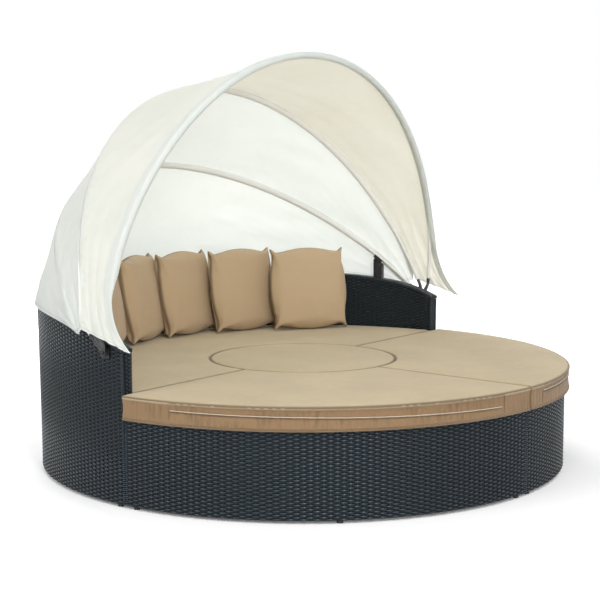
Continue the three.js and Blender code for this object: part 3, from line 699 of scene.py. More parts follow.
def strand_rows(length, low, high):
    """A flat panel of strands over and under stakes, in the XZ plane, with its face at y = 0 towards -Y."""
    weave = bpy.context.scene.daybed_weave
    stakes = 2 * max(round(length / weave.stake_pitch / 2), 1)
    stake_pitch = length / stakes
    rows = max(round((high - low) / weave.row_pitch), 1)
    row_pitch = (high - low) / rows
    width = weave.strand_width * row_pitch / weave.row_pitch
    cells = len(STRAND_STEPS) - 1
    strand = upright_grid((cells, 2), (2 * stake_pitch, width))
    with editing(strand):
        for index, side in enumerate(STRAND_STEPS):
            place = (index / cells - 0.5) * 2 * stake_pitch
            select_parts(strand, lambda co: abs(co.x - place) < stake_pitch / cells)
            bpy.ops.transform.translate(value=(0, -side * weave.strand_rise, 0))
        select_parts(strand, lambda co: abs(co.z) < width / 4)
        bpy.ops.transform.translate(value=(0, -weave.strand_rise * STRAND_CROWN, 0))
    repeat(
        strand, stakes // 2 + 2, (2 * stake_pitch, 0, 0),
        use_merge_vertices=True, merge_threshold=weave.strand_rise / 20,
    )
    repeat(strand, 2, (stake_pitch, 0, row_pitch))
    repeat(strand, rows // 2 + rows % 2, (0, 0, 2 * row_pitch))
    strand.location = (-length / 2 - stake_pitch, 0, low + row_pitch / 2)
    apply_place(strand)
    with editing(strand):
        for side in (-1, 1):
            bpy.ops.mesh.select_all(action="SELECT")
            bpy.ops.mesh.bisect(
                plane_co=(side * length / 2, 0, 0), plane_no=(side, 0, 0), clear_outer=True, use_fill=False
            )
        select_parts(strand, lambda co: co.z > high, "FACE")
        bpy.ops.mesh.delete(type="FACE")
    return strand, stake_pitch


def upright_stakes(length, low, high, stake_pitch):
    """The stakes that the strands go over and under."""
    weave = bpy.context.scene.daybed_weave
    middle = -length / 2 + stake_pitch / 2
    stake = upright_grid((2, 1), (weave.stake_width, high - low), (middle, 0, (low + high) / 2))
    with editing(stake):
        select_parts(stake, lambda co: abs(co.x - middle) < weave.stake_width / 4)
        bpy.ops.transform.translate(value=(0, -weave.strand_rise * STRAND_CROWN, 0))
    repeat(stake, round(length / stake_pitch), (stake_pitch, 0, 0))
    return stake


def add_strand_uv(piece, first, pitch, lift=None, axis=2):
    """A UV in metres along the strands and up, and one of how far a strand stands out and where across it."""
    points = points_of(piece)
    if lift is None:
        lift = -points[:, 1] / bpy.context.scene.daybed_weave.strand_rise
    across = ((points[:, axis] - first) / pitch) % 1.0
    # The strands' finish paints shade where the lift is low and a highlight where it is high.
    for name, values in (("strands", points[:, [0, 2]]), ("lift", stacked(lift, across))):
        write_uv(piece, values, name)
    for other in [made.name for made in piece.data.uv_layers if made.name not in ("strands", "lift")]:
        piece.data.uv_layers.remove(piece.data.uv_layers[other])


def woven_panel(length, low, high, top_at=None, flare=0.0):
    """A whole flat panel. top_at(x) cuts it along a sloping rim, and flare leans its top outwards."""
    weave = bpy.context.scene.daybed_weave
    strands, stake_pitch = strand_rows(length, low, high)
    stakes = upright_stakes(length, low, high, stake_pitch)
    cells = (max(round(length / stake_pitch), 1), 1)
    sheet = upright_grid(cells, (length, high - low), (0, 2 * weave.strand_rise, (low + high) / 2))
    sheet.data.materials.append(finishes.get("dark_backing"))
    for piece in (strands, stakes):
        piece.data.materials.append(finishes.get("dark_weave"))
    panel = join_pieces([strands, stakes, sheet], "panel")
    if top_at is not None:
        with editing(panel):
            select_parts(panel, lambda co: co.z > top_at(co.x), "FACE")
            bpy.ops.mesh.delete(type="FACE")
    add_strand_uv(panel, low, (high - low) / max(round((high - low) / weave.row_pitch), 1))
    points = points_of(panel)
    points[:, 1] += weave.strand_rise * (1 + STRAND_CROWN) - flare * height_share(points) ** 2
    if top_at is not None:
        tops = np.array([top_at(x) for x in points[:, 0]])
        points[:, 2] = np.minimum(points[:, 2], tops)
    set_points(panel, points)
    smooth(panel)
    return panel


def height_share(points):
    """How high points lie, from 0 at the glides to 1 at the top of the rim."""
    return (points[:, 2] - FOOT_HEIGHT) / (RIM_TOP - FOOT_HEIGHT)


def bend_panel(panel, length, radius, middle, faces_out=True):
    """Bends a flat panel round the plan's centre, with its middle at an angle."""
    side = 1 if faces_out else -1
    apply_modifier(panel, "SIMPLE_DEFORM", deform_method="BEND", deform_axis="Z", angle=side * length / radius)
    turn = Matrix.Rotation(middle + side * math.pi / 2, 4, "Z")
    panel.matrix_world = turn @ Matrix.Translation((0, -side * radius, 0))
    apply_place(panel)
    return panel


def place_flat_panel(panel, middle, facing):
    """Stands a flat panel with its face towards an angle."""
    panel.matrix_world = Matrix.Translation(middle) @ Matrix.Rotation(facing + math.pi / 2, 4, "Z")
    apply_place(panel)
    return panel


def stand_at(piece, x, y):
    """Moves a piece over the plan."""
    piece.location = (x, y, 0)
    apply_place(piece)
    return piece


def polar(radius, angle, z=0.0):
    """A point on the round plan."""
    return Vector((radius * math.cos(angle), radius * math.sin(angle), z))


def along_seam(seam, side, distance):
    """A step in the plan away from a seam, to one side of it."""
    return Vector((-math.sin(seam), math.cos(seam), 0)) * side * distance


def base_panels(start, end):
    """The four woven faces of a section between two seams."""
    low, high = BASE_BOTTOM, BASE_TOP
    post = bpy.context.scene.daybed_weave.post_size
    middle = (start + end) / 2
    panels = []
    for radius, faces_out in ((BASE_RADIUS, True), (SECTION_INSIDE, False)):
        length = radius * (end - start) - 2 * (post + CLEARANCE)
        panels.append(bend_panel(woven_panel(length, low, high), length, radius, middle, faces_out))
    length = BASE_RADIUS - SECTION_INSIDE - 2 * post
    radius = (BASE_RADIUS + SECTION_INSIDE) / 2
    for seam, side in ((start, 1), (end, -1)):
        place = polar(radius, seam) + along_seam(seam, side, CLEARANCE)
        panels.append(place_flat_panel(woven_panel(length, low, high), place, seam - side * math.pi / 2))
    return panels


def wrap_stack(size, low, high):
    """Strands wound round a square post, one over another: a stack of rounded hoops."""
    weave = bpy.context.scene.daybed_weave
    rows = round((high - low) / weave.row_pitch)
    row_pitch = (high - low) / rows
    middle = low + row_pitch / 2
    near = weave.strand_width / 4
    bpy.ops.mesh.primitive_cube_add(size=1, location=(0, 0, middle))
    hoop = bpy.context.object
    hoop.scale = (size, size, weave.strand_width)
    apply_place(hoop)
    with editing(hoop):
        select_parts(hoop, lambda co: abs(co.z - middle) < near, "EDGE")
        bpy.ops.mesh.bevel(offset=size * 0.3, segments=3, affect="EDGES")
        select_parts(hoop, lambda co: abs(co.z - middle) > near, "EDGE")
        bpy.ops.mesh.bevel(offset=weave.strand_width * 0.28, segments=1, affect="EDGES")
    repeat(hoop, rows, (0, 0, row_pitch))
    # A lift of 1 gives the hoops the finish's painted highlight all round.
    add_strand_uv(hoop, low, row_pitch, 1.0)
    hoop.data.materials.append(finishes.get("dark_weave"))
    smooth(hoop, SHARP_STRAND)
    return hoop


def corner_wraps(start, end):
    """The wound posts at a section's four corners."""
    size = bpy.context.scene.daybed_weave.post_size
    posts = []
    for seam, side in ((start, 1), (end, -1)):
        for radius in (BASE_RADIUS - size / 2, SECTION_INSIDE + size / 2):
            post = wrap_stack(size, BASE_BOTTOM, BASE_TOP)
            place = polar(radius, seam) + along_seam(seam, side, size / 2 + CLEARANCE)
            post.matrix_world = Matrix.Translation(place) @ Matrix.Rotation(seam, 4, "Z")
            apply_place(post)
            posts.append(post)
    return posts


def finish_woven(pieces, name, body, replaced):
    """Joins woven panels and posts, which already have their materials."""
    piece = join_pieces(pieces, name)
    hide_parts(*replaced)
    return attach(piece, body)


def rim_top(angle):
    """Height of the rim at an angle from the right arm."""
    from_arm = max(min(angle, math.pi - angle), 0.0)
    return ARM_RIM_TOP + (RIM_TOP - ARM_RIM_TOP) * (1 - math.exp(-from_arm / RIM_RISE_ANGLE))


class DAYBED_OT_ottoman_weave(bpy.types.Operator):
    """Weave the two front ottomans and the round one"""

    bl_idname = "daybed.ottoman_weave"
    bl_label = "Ottoman weave"

    def execute(self, context):
        for name, start, end in (("ottoman_left", -math.pi, FRONT_SEAM), ("ottoman_right", FRONT_SEAM, 0.0)):
            pieces = base_panels(start, end) + corner_wraps(start, end)
            finish_woven(pieces, name + "_strands", name, [name + "_weave"])
        length = 2 * math.pi * CENTRE_RADIUS
        panel = woven_panel(length, BASE_BOTTOM, BASE_TOP)
        bend_panel(panel, length, CENTRE_RADIUS, -math.pi / 2)
        finish_woven([panel], "round_ottoman_strands", "round_ottoman", ["round_ottoman_weave"])
        return {"FINISHED"}


class DAYBED_OT_sofa_weave(bpy.types.Operator):
    """Weave the sofa's wall, arm ends and front"""

    bl_idname = "daybed.sofa_weave"
    bl_label = "Sofa weave"

    def execute(self, context):
        post = context.scene.daybed_weave.post_size
        walls = (("outer", BASE_RADIUS, BASE_BOTTOM, 1, WALL_FLARE), ("inner", WALL_INSIDE, BASE_TOP, -1, 0.0))
        for name, radius, low, side, flare in walls:
            length = math.pi * radius - 2 * (post + CLEARANCE)
            top_at = lambda x: rim_top(math.pi / 2 + side * x / radius) - RIM_THICKNESS / 2
            panel = woven_panel(length, low, RIM_TOP, top_at, flare)
            bend_panel(panel, length, radius, math.pi / 2, faces_out=side > 0)
            finish_woven([panel], f"sofa_{name}_strands", "sofa", [f"sofa_{name}_weave"])
        add_arm_ends(post)
        add_sofa_front(post)
        return {"FINISHED"}


def add_arm_ends(post):
    """The narrow woven ends of the arms, between two wound edges."""
    length = BASE_RADIUS - WALL_INSIDE - 2 * post
    for side, name in ((1, "right"), (-1, "left")):
        middle = Vector((side * (BASE_RADIUS + WALL_INSIDE) / 2, CLEARANCE, 0))
        panel = woven_panel(length, BASE_BOTTOM, ARM_RIM_BOTTOM)
        pieces = [place_flat_panel(panel, middle, -math.pi / 2)]
        for radius, flare in ((BASE_RADIUS - post / 2, WALL_FLARE), (WALL_INSIDE + post / 2, 0.0)):
            edge = wrap_stack(post, BASE_BOTTOM, ARM_RIM_BOTTOM)
            points = points_of(edge)
            points[:, 0] += side * flare * height_share(points) ** 2
            set_points(edge, points)
            pieces.append(stand_at(edge, side * radius, CLEARANCE + post / 2))
        finish_woven(pieces, f"sofa_arm_end_{name}_strands", "sofa", [f"sofa_arm_end_{name}"])


def add_sofa_front(post):
    """The sofa's straight front and the curve that takes the round ottoman."""
    pieces = []
    length = WALL_INSIDE - SECTION_INSIDE - post
    for side in (-1, 1):
        panel = woven_panel(length, BASE_BOTTOM, BASE_TOP)
        middle = Vector((side * (SECTION_INSIDE + post + length / 2), CLEARANCE, 0))
        pieces.append(place_flat_panel(panel, middle, -math.pi / 2))
        edge = wrap_stack(post, BASE_BOTTOM, BASE_TOP)
        pieces.append(stand_at(edge, side * (SECTION_INSIDE + post / 2), CLEARANCE + post / 2))
    length = math.pi * SECTION_INSIDE - 2 * (post + CLEARANCE)
    panel = woven_panel(length, BASE_BOTTOM, BASE_TOP)
    pieces.append(bend_panel(panel, length, SECTION_INSIDE, math.pi / 2, faces_out=False))
    finish_woven(pieces, "sofa_front_strands", "sofa", ["sofa_front_weave"])


def rim_strip(width, depth, length):
    """One strand wound round the rim, chevroned on top and bottom."""
    bpy.ops.mesh.primitive_cube_add(size=1)
    strip = bpy.context.object
    strip.scale = (length, depth, width)
    apply_place(strip)
    with editing(strip):
        bpy.ops.mesh.bisect(plane_co=(0, 0, 0), plane_no=(0, 1, 0))
        near_side = lambda co: abs(abs(co.y) - depth / 2) < depth * 0.01
        near_face = lambda co: abs(abs(co.z) - width / 2) < width * 0.01
        select_parts(strip, lambda co: near_side(co) and near_face(co), "EDGE")
        bpy.ops.mesh.bevel(offset=width * 0.42, segments=3, affect="EDGES")
        select_parts(strip, lambda co: abs(co.y) < depth * 0.1)
        bpy.ops.transform.translate(value=(RIM_LEAN, 0, 0))
    return strip


class DAYBED_OT_rim(bpy.types.Operator):
    """Wind the rim on top of the wall"""

    bl_idname = "daybed.rim"
    bl_label = "Wound rim"

    def execute(self, context):
        settings = context.scene.daybed_weave
        inner = WALL_INSIDE - RIM_OVERHANG
        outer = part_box("sofa_rim_braid")[1].x
        radius = (inner + outer) / 2
        length = math.pi * radius
        strips = round(length / settings.rim_pitch)
        pitch = length / strips
        strip = rim_strip(RIM_THICKNESS, outer - inner, pitch * 0.86)
        apply_modifier(
            strip, "BEVEL", width=pitch * 0.18, segments=1, limit_method="ANGLE", angle_limit=math.radians(60)
        )
        repeat(strip, strips, (pitch, 0, 0))
        strip.location = (-length / 2 + pitch / 2, 0, 0)
        apply_place(strip)
        bpy.ops.mesh.primitive_grid_add(x_subdivisions=strips, y_subdivisions=1, size=1)
        core = context.object
        core.scale = (length, outer - inner - RIM_CORE_INSET, 1)
        apply_place(core)
        apply_modifier(core, "SOLIDIFY", thickness=RIM_THICKNESS - RIM_CORE_INSET, offset=0)
        core.data.materials.append(finishes.get("dark_backing"))
        strip.data.materials.append(finishes.get("dark_weave"))
        rim = join_pieces([strip, core], "rim")
        # A lift of 0.8 gives the rim's strips much of the finish's painted highlight.
        add_strand_uv(rim, -length / 2, pitch, 0.8, axis=0)
        points = points_of(rim)
        points[:, 0] = np.clip(points[:, 0], -length / 2, length / 2)
        tops = np.array([rim_top(math.pi / 2 + x / radius) for x in points[:, 0]])
        points[:, 2] += tops - RIM_THICKNESS / 2
        set_points(rim, points)
        smooth(rim, SHARP_STRAND)
        bend_panel(rim, length, radius, math.pi / 2)
        points = points_of(rim)
        points[:, 1] = np.maximum(points[:, 1], CLEARANCE)
        set_points(rim, points)
        finish_woven([rim], "sofa_rim_strands", "sofa", ["sofa_rim_braid"])
        return {"FINISHED"}


# Soft sheets and padded pieces, as mesh code


def sheet_mesh(name, points, closed=False, faces=None):
    """A mesh over a grid of points (rows, columns, 3). closed joins the last column to the first."""
    rows, columns = points.shape[:2]
    mesh = bpy.data.meshes.new(name)
    if faces is None:
        faces = grid_faces(rows, columns, closed)
    mesh.from_pydata(points.reshape(-1, 3).tolist(), [], faces)
    piece = bpy.data.objects.new(name, mesh)
    bpy.context.scene.collection.objects.link(piece)
    return piece


def grid_faces(rows, columns, closed=False, first=0, flip=False):
    """Quads over a grid of vertices numbered row by row from first."""
    faces = []
    for row in range(rows - 1):
        for column in range(columns if closed else columns - 1):
            after = (column + 1) % columns
            quad = [row * columns + column, row * columns + after]
            quad += [(row + 1) * columns + after, (row + 1) * columns + column]
            faces.append([first + index for index in (reversed(quad) if flip else quad)])
    return faces


def write_uv(piece, values, name="cloth"):
    """Writes a UV in metres, given for each vertex."""
    layer = piece.data.uv_layers.get(name) or piece.data.uv_layers.new(name=name)
    corners = np.empty(len(piece.data.loops), dtype=np.int64)
    piece.data.loops.foreach_get("vertex_index", corners)
    layer.data.foreach_set("uv", np.asarray(values, dtype=float).reshape(-1, 2)[corners].ravel())


def stacked(*parts):
    """Joins coordinates, given as arrays or single numbers, into points."""
    return np.stack(np.broadcast_arrays(*parts), axis=-1)


def run_along(path):
    """How far each point of a line is from its start, along the line."""
    steps = np.linalg.norm(np.diff(path, axis=0), axis=1)
    return np.concatenate([[0], np.cumsum(steps)])


def soft_noise(points, scale=1.0, seed=0.0):
    """Smooth noise from -1 to 1 at each point of an array."""
    shift = Vector((seed, 2.3 * seed, -1.7 * seed))
    flat = points.reshape(-1, points.shape[-1])
    values = [noise.noise(Vector(point) * scale + shift) for point in flat.tolist()]
    return np.array(values).reshape(points.shape[:-1])


# Sizes of the seat cushions, in metres
NEAR_EDGE = np.array([0.0, 0.0025, 0.006, 0.011, 0.018])  # places of the fine cells along an edge
EVEN_FROM = 0.026  # where the even cells start
CORNER_RADIUS = 0.016
SEAM_BLEND = 0.10  # run over which columns turn from even angles to a seam's direction
TOP_SEAM = 0.016  # how far the seams lie from the crown and from the bottom
BOTTOM_SEAM = 0.004
PUFF, PUFF_RUN = 0.0065, 0.006  # the quick rise beside the piping
CROWN, CROWN_RUN = 0.0095, 0.045  # the long rise to the middle
BOXING_BANDS = 9
CORD_SIDES = 8


def edge_places(length, cell):
    """Places from 0 to a length, close together at both ends."""
    middle = np.linspace(EVEN_FROM, length - EVEN_FROM, max(round((length - 2 * EVEN_FROM) / cell), 2) + 1)
    return np.concatenate([NEAR_EDGE, middle, length - NEAR_EDGE[::-1]])


def rounded_corner(along, across, radius):
    """Pulls the places near a square's corner onto a circle. Both count from the edges."""
    near = (along < radius) & (across < radius)
    a = np.where(near, 1 - along / radius, 0.0)
    b = np.where(near, 1 - across / radius, 0.0)
    new_along = np.where(near, radius * (1 - a * np.sqrt(1 - b * b / 2)), along)
    new_across = np.where(near, radius * (1 - b * np.sqrt(1 - a * a / 2)), across)
    return new_along, new_across


class Plan:
    """A seat cushion's outline: part of a ring between two seams, or a disc."""

    def __init__(self, inner, outer, start, end):
        self.inner, self.outer, self.start, self.end = inner, outer, start, end

    def grid(self, cell):
        """Plan points, row by row from the outside inwards, and how far each is from an edge."""
        width = self.outer - self.inner
        length = (self.end - self.start) * (self.outer + self.inner) / 2 - 2 * CLEARANCE
        along, across = np.meshgrid(edge_places(length, cell), edge_places(width, cell))
        flip = along > length / 2
        low = np.where(flip, length - along, along)
        deep = across > width / 2
        in_depth = np.where(deep, width - across, across)
        low, in_depth = rounded_corner(low, in_depth, CORNER_RADIUS)
        along = np.where(flip, length - low, low)
        across = np.where(deep, width - in_depth, in_depth)
        ring = self.outer - across
        margin = np.arcsin(np.minimum(CLEARANCE / ring, 1))
        sweep = self.end - self.start - 2 * margin
        middle = (self.outer + self.inner) / 2
        near = np.minimum(low * middle / ring, sweep * ring / 2) / (sweep * ring)
        blend = np.clip(low / SEAM_BLEND, 0, 1)
        share = np.where(flip, 1 - near, near) * (1 - blend) + along / length * blend
        angle = self.start + margin + share * sweep
        plan = stacked(ring * np.cos(angle), ring * np.sin(angle))
        seam = np.minimum(share, 1 - share) * sweep * ring
        return plan, np.minimum(np.minimum(seam, across), width - across)


def cushion_heights(distance):
    """Top surface over its seam: a quick puff at the piping and a long crown."""
    return PUFF * (1 - np.exp(-distance / PUFF_RUN)) + CROWN * (1 - np.exp(-distance / CROWN_RUN))


def boundary(rows, columns):
    """Indices of a grid's edge, once round."""
    top = [(0, column) for column in range(columns)]
    right = [(row, columns - 1) for row in range(1, rows)]
    bottom = [(rows - 1, column) for column in range(columns - 2, -1, -1)]
    left = [(row, 0) for row in range(rows - 2, 0, -1)]
    return np.array(top + right + bottom + left)


def outward_of(loop):
    """Unit normals in the plan, to the outside, of a closed loop that runs anticlockwise."""
    step = np.roll(loop, -1, axis=0) - np.roll(loop, 1, axis=0)
    normal = stacked(step[:, 1], -step[:, 0])
    return normal / np.maximum(np.linalg.norm(normal, axis=1, keepdims=True), 1e-9)


def boxed_cushion(name, plan, distance, seed, gathers=None):
    """A cushion with a crowned top, a boxing strip and a flat bottom, closed, in one mesh."""
    rows, columns = distance.shape
    low, high = CUSHION_BOTTOM + BOTTOM_SEAM, CUSHION_TOP - TOP_SEAM
    x, y = plan[..., 0], plan[..., 1]
    broad = 0.0016 * np.abs(soft_noise(stacked(x, y, 0.0), 9.0, seed))
    fine = 0.0008 * np.abs(soft_noise(stacked(x, y, 0.0), 34.0, seed + 3))
    top = high + cushion_heights(distance) - (broad + fine) * np.clip(distance / 0.03, 0, 1)
    bottom = CUSHION_BOTTOM + BOTTOM_SEAM * np.exp(-distance / PUFF_RUN)
    edge = boundary(rows, columns)
    loop = plan[edge[:, 0], edge[:, 1]]
    area = np.sum(loop[:, 0] * np.roll(loop[:, 1], -1) - np.roll(loop[:, 0], -1) * loop[:, 1])
    anticlockwise = area > 0
    normals = outward_of(loop) * (1 if anticlockwise else -1)
    run = run_along(loop)
    strip = []
    for band in range(1, BOXING_BANDS):
        share = band / BOXING_BANDS
        depth = boxing_depth(run, share, seed)
        if gathers is not None:
            depth = depth + gathers(loop, share)
        out = loop + normals * np.minimum(depth, 0.0)[:, None]
        strip.append(stacked(out[:, 0], out[:, 1], high + (low - high) * share))
    points = np.concatenate([stacked(x, y, top).reshape(-1, 3), stacked(x, y, bottom).reshape(-1, 3)] + strip)
    total = rows * columns
    faces = grid_faces(rows, columns, flip=anticlockwise)
    faces += grid_faces(rows, columns, first=total, flip=not anticlockwise)
    top_ids = (edge[:, 0] * columns + edge[:, 1]).tolist()
    rings = [top_ids]
    for first in range(2 * total, len(points), len(edge)):
        rings.append(list(range(first, first + len(edge))))
    rings.append([index + total for index in top_ids])
    for upper, lower in zip(rings, rings[1:]):
        for index in range(len(edge)):
            after = (index + 1) % len(edge)
            quad = [upper[index], lower[index], lower[after], upper[after]]
            faces.append(quad if anticlockwise else quad[::-1])
    piece = sheet_mesh(name, points[None], faces=faces)
    flat = plan.reshape(-1, 2)
    write_uv(piece, np.concatenate([flat, flat] + [stacked(run, ring[:, 2]) for ring in strip]))
    from_seam = stacked(0.0, distance).reshape(-1, 2)
    side = np.full((len(points) - 2 * total, 2), ON_SIDE)
    write_uv(piece, np.concatenate([from_seam, from_seam + (ON_SIDE, 1.0), side]), "sewn")
    return piece, loop, normals


def boxing_depth(run, share, seed):
    """How far a cushion's side stands out: a slight hollow, wrinkled along the seams."""
    wrinkle = bpy.context.scene.daybed_cushions.wrinkle * math.exp(-min(share, 1 - share) / 0.16)
    pucker = soft_noise(stacked(run * 62, 3 * (share > 0.5), seed))
    broad = soft_noise(stacked(run * 11, 2 * share, seed))
    return wrinkle * pucker - 0.0035 * math.sin(math.pi * share) + 0.0012 * broad - 0.0010


def piping(name, loop, normals, height, kind):
    """A sewn cord along a closed line in the plan. kind is its tint in the cloth's finish."""
    radius = bpy.context.scene.daybed_cushions.piping_radius
    turned = 2 * math.pi * np.arange(CORD_SIDES) / CORD_SIDES
    out = loop[:, None] + normals[:, None] * (radius * np.cos(turned) - radius)[:, None]
    points = stacked(out[..., 0], out[..., 1], height + radius * np.sin(turned))
    faces = []
    for index in range(len(loop)):
        here, after = index * CORD_SIDES, (index + 1) % len(loop) * CORD_SIDES
        for side in range(CORD_SIDES):
            beside = (side + 1) % CORD_SIDES
            faces.append([here + side, after + side, after + beside, here + beside])
    piece = sheet_mesh(name, points, faces=faces)
    write_uv(piece, stacked(0.0, points[..., 2]))
    write_uv(piece, np.full(points.shape[:2] + (2,), (kind, 1.0)), "sewn")
    face_outwards(piece)
    return piece


def sewn_line(path, half_width, half_depth, kind):
    """A flat strip or cord, sewn along a line on a cushion's side, closed at its ends."""
    step = np.gradient(path, axis=0)
    step /= np.linalg.norm(step, axis=1, keepdims=True)
    outward = path * (1.0, 1.0, 0.0)
    outward /= np.linalg.norm(outward, axis=1, keepdims=True)
    beside = np.cross(step, outward)
    turned = 2 * math.pi * np.arange(CORD_SIDES) / CORD_SIDES
    points = path[:, None] + outward[:, None] * (half_depth * np.cos(turned))[:, None]
    points = points + beside[:, None] * (half_width * np.sin(turned))[:, None]
    last = (len(path) - 1) * CORD_SIDES
    faces = grid_faces(len(path), CORD_SIDES, closed=True)
    faces += [list(range(CORD_SIDES)), list(range(last, last + CORD_SIDES))]
    piece = sheet_mesh("line", points, faces=faces)
    write_uv(piece, stacked(points[..., 0], points[..., 0]))
    write_uv(piece, np.full(points.shape[:2] + (2,), (kind, 1.0)), "sewn")
    face_outwards(piece)
    return piece


def side_line(places, radius, half_width, half_depth, kind, wave=0.0):
    """A sewn line over a round side, through places (degrees, height)."""
    angles, heights = np.array(places).T
    count = max(round(abs(angles[-1] - angles[0]) * 3), 12)
    share = np.linspace(0, 1, count)
    turn = np.radians(np.interp(share, np.linspace(0, 1, len(angles)), angles))
    up = np.interp(share, np.linspace(0, 1, len(angles)), heights)
    run = turn * radius
    up = up + wave * (np.sin(run * 2 * math.pi / 0.061) + 0.6 * np.sin(run * 2 * math.pi / 0.024))
    return sewn_line(stacked(radius * np.cos(turn), radius * np.sin(turn), up), half_width, half_depth, kind)


def seat_cushion(name, plan_shape, seed, gathers=None, lines=()):
    """A whole seat cushion with its piping, in place of the frame's. Node and body share their name."""
    plan, distance = plan_shape.grid(bpy.context.scene.daybed_cushions.cell)
    piece, loop, normals = boxed_cushion(name + "_cloth", plan, distance, seed, gathers)
    cords = [
        # The top cord is tinted as painted shade in its seam, the bottom cord partly.
        piping("top_cord", loop, normals, CUSHION_TOP - TOP_SEAM, ON_SHADED_CORD),
        piping("bottom_cord", loop, normals, CUSHION_BOTTOM + 0.0045, ON_BOTTOM_CORD),
    ]
    cords += [side_line(*line) for line in lines]
    piece = join_pieces([piece] + cords, name + "_cloth")
    smooth(piece, SHARP_CLOTH)
    return finish_piece(piece, name, finishes.get("tan_cloth"), [name])


class DiscPlan:
    """The round cushion's outline, as a grid stretched over a circle."""

    def __init__(self, radius):
        self.radius = radius

    def grid(self, cell):
        """Plan points and how far each is from the edge."""
        side = edge_places(2 * self.radius, cell) / self.radius - 1
        u, v = np.meshgrid(side, side[::-1])
        x = u * np.sqrt(1 - v * v / 2)
        y = v * np.sqrt(1 - u * u / 2)
        plan = stacked(x, y) * self.radius
        return plan, np.maximum(self.radius - np.linalg.norm(plan, axis=-1), 0)


class DAYBED_OT_cushions(bpy.types.Operator):
    """Sew the four seat cushions"""

    bl_idname = "daybed.cushions"
    bl_label = "Seat cushions"

    def execute(self, context):
        sofa = Plan(SECTION_INSIDE, SOFA_CUSHION_REACH, 0.0, math.pi)
        seat_cushion("sofa_cushion", sofa, 1.0)
        sections = (("left", -math.pi, FRONT_SEAM, 5.0), ("right", FRONT_SEAM, 0.0, 9.0))
        for name, start, end, seed in sections:
            plan = Plan(SECTION_INSIDE, CUSHION_REACH, start, end)
            seat_cushion(f"ottoman_{name}_cushion", plan, seed, zip_gathers, zip_lines(*ZIPS[name]))
        seat_cushion("round_ottoman_cushion", DiscPlan(CENTRE_RADIUS), 13.0)
        return {"FINISHED"}


ZIPS = {
    # the zip's places on each front cushion (degrees, height), and the upright seams at its ends (degrees)
    "left": (
        ((-168.8, 0.390), (-156.0, 0.388), (-144.1, 0.386), (-123.0, 0.379), (-102.6, 0.372)), (-168.9, -102.0)
    ),
    "right": (((-88.0, 0.396), (-74.7, 0.397), (-40.0, 0.392), (-20.0, 0.389)), (-88.4, -19.5)),
}


def zip_lines(places, seams):
    """A pale strip along the zip as the painted highlight of its flap's lower edge, a dark line under it as the
    flap's painted shadow, and an upright seam at each of its ends, dark as painted shade.
    """
    radius = CUSHION_REACH - 0.0052
    below = [(angle, height - 0.005) for angle, height in places]
    lines = [(places, radius, 0.0016, 0.0034, ON_ZIP_HIGHLIGHT, 0.0002), (below, radius, 0.0010, 0.0030, ON_SHADED_CORD, 0.0002)]
    low, high = CUSHION_BOTTOM + 0.008, CUSHION_TOP - 0.019
    for angle in seams:
        lines.append((((angle, low), (angle, high)), radius + 0.0015, 0.0010, 0.0014, ON_SHADED_CORD))
    return lines


def zip_gathers(loop, share):
    """Gathers over the zips on the fronts of the two front cushions."""
    angle = np.degrees(np.arctan2(loop[:, 1], loop[:, 0]))
    on_front = np.linalg.norm(loop, axis=1) > CUSHION_REACH - 0.02
    on_zip = (angle > -168.5) & (angle < -19.5) & (abs(angle + 95.0) > 7.0)
    run = np.radians(angle) * CUSHION_REACH
    wave = np.sin(2 * math.pi * run / 0.031 + 2.0 * np.sin(run * 9)) * (0.6 + 0.4 * np.sin(run * 23))
    rise = math.exp(-(((share - 0.22) / 0.20) ** 2))
    return np.where(on_front & on_zip, -0.0040 + 0.0040 * wave, 0.0) * rise


# Throw pillows

PILLOW_SIZE = 0.395
PILLOW_START = 0.080  # thickness before it is stuffed
PILLOW_BULGE = 0.074  # how far its sides bow out, as a share of its half size
STUFFING_CAP = 0.020  # how far stuffing may move a point
STUFFING_FRAMES = 14
PILLOW_POSES = (
    # angle round the wall, lean back, turn, setback from the wall, all as in the frame
    (34.5, 10, 24, 0.188),
    (56.0, 10, 24, 0.188),
    (76.0, 11, 20, 0.184),
    (95.0, 11, 16, 0.184),
    (117.0, 10, 8, 0.184),
)


def pillow_mesh(name, seed):
    """A square pillow of two sheets sewn along a knife edge, in its own plane, then stuffed."""
    steps = 44
    share = np.linspace(-1, 1, steps + 1)
    side = 0.75 * share + 0.25 * np.sin(share * math.pi / 2)
    u, v = np.meshgrid(side, side)
    half = PILLOW_SIZE / 2
    x = half * u * (1 + PILLOW_BULGE * (1 - v * v) ** 2)
    y = half * v * (1 + PILLOW_BULGE * (1 - u * u) ** 2)
    ear = np.exp(-((1 - np.abs(u)) ** 2 + (1 - np.abs(v)) ** 2) / 0.012)
    x, y = x * (1 + 0.030 * ear), y * (1 + 0.040 * ear)
    rise = np.sqrt(np.maximum((1 - u * u) * (1 - v * v), 0))
    faces = []
    points = []
    for sign in (1, -1):
        flat = stacked(x, y, sign * 3.0 + seed)
        thickness = PILLOW_START
        slack = 0.0035 * soft_noise(flat, 9.0) + 0.0016 * soft_noise(flat, 27.0)
        puff = thickness / 2 * rise + slack * rise
        points.append(stacked(x, y, sign * np.maximum(puff, 0)).reshape(-1, 3))
        first = 0 if sign > 0 else (steps + 1) ** 2
        faces += grid_faces(steps + 1, steps + 1, first=first, flip=sign < 0)
    piece = sheet_mesh(name, np.array(points), faces=faces)
    edge = half * (1 - np.maximum(np.abs(u), np.abs(v)))
    write_uv(piece, [stacked(x, y)] * 2)
    # The edge distance lets the cloth's finish paint shade along the knife edge.
    write_uv(piece, [stacked(ON_PILLOW, edge + 0.0015)] * 2, "sewn")
    with editing(piece):
        bpy.ops.mesh.remove_doubles(threshold=1e-6)
    stuff(piece)
    apply_modifier(piece, "SUBSURF", levels=1)
    return piece


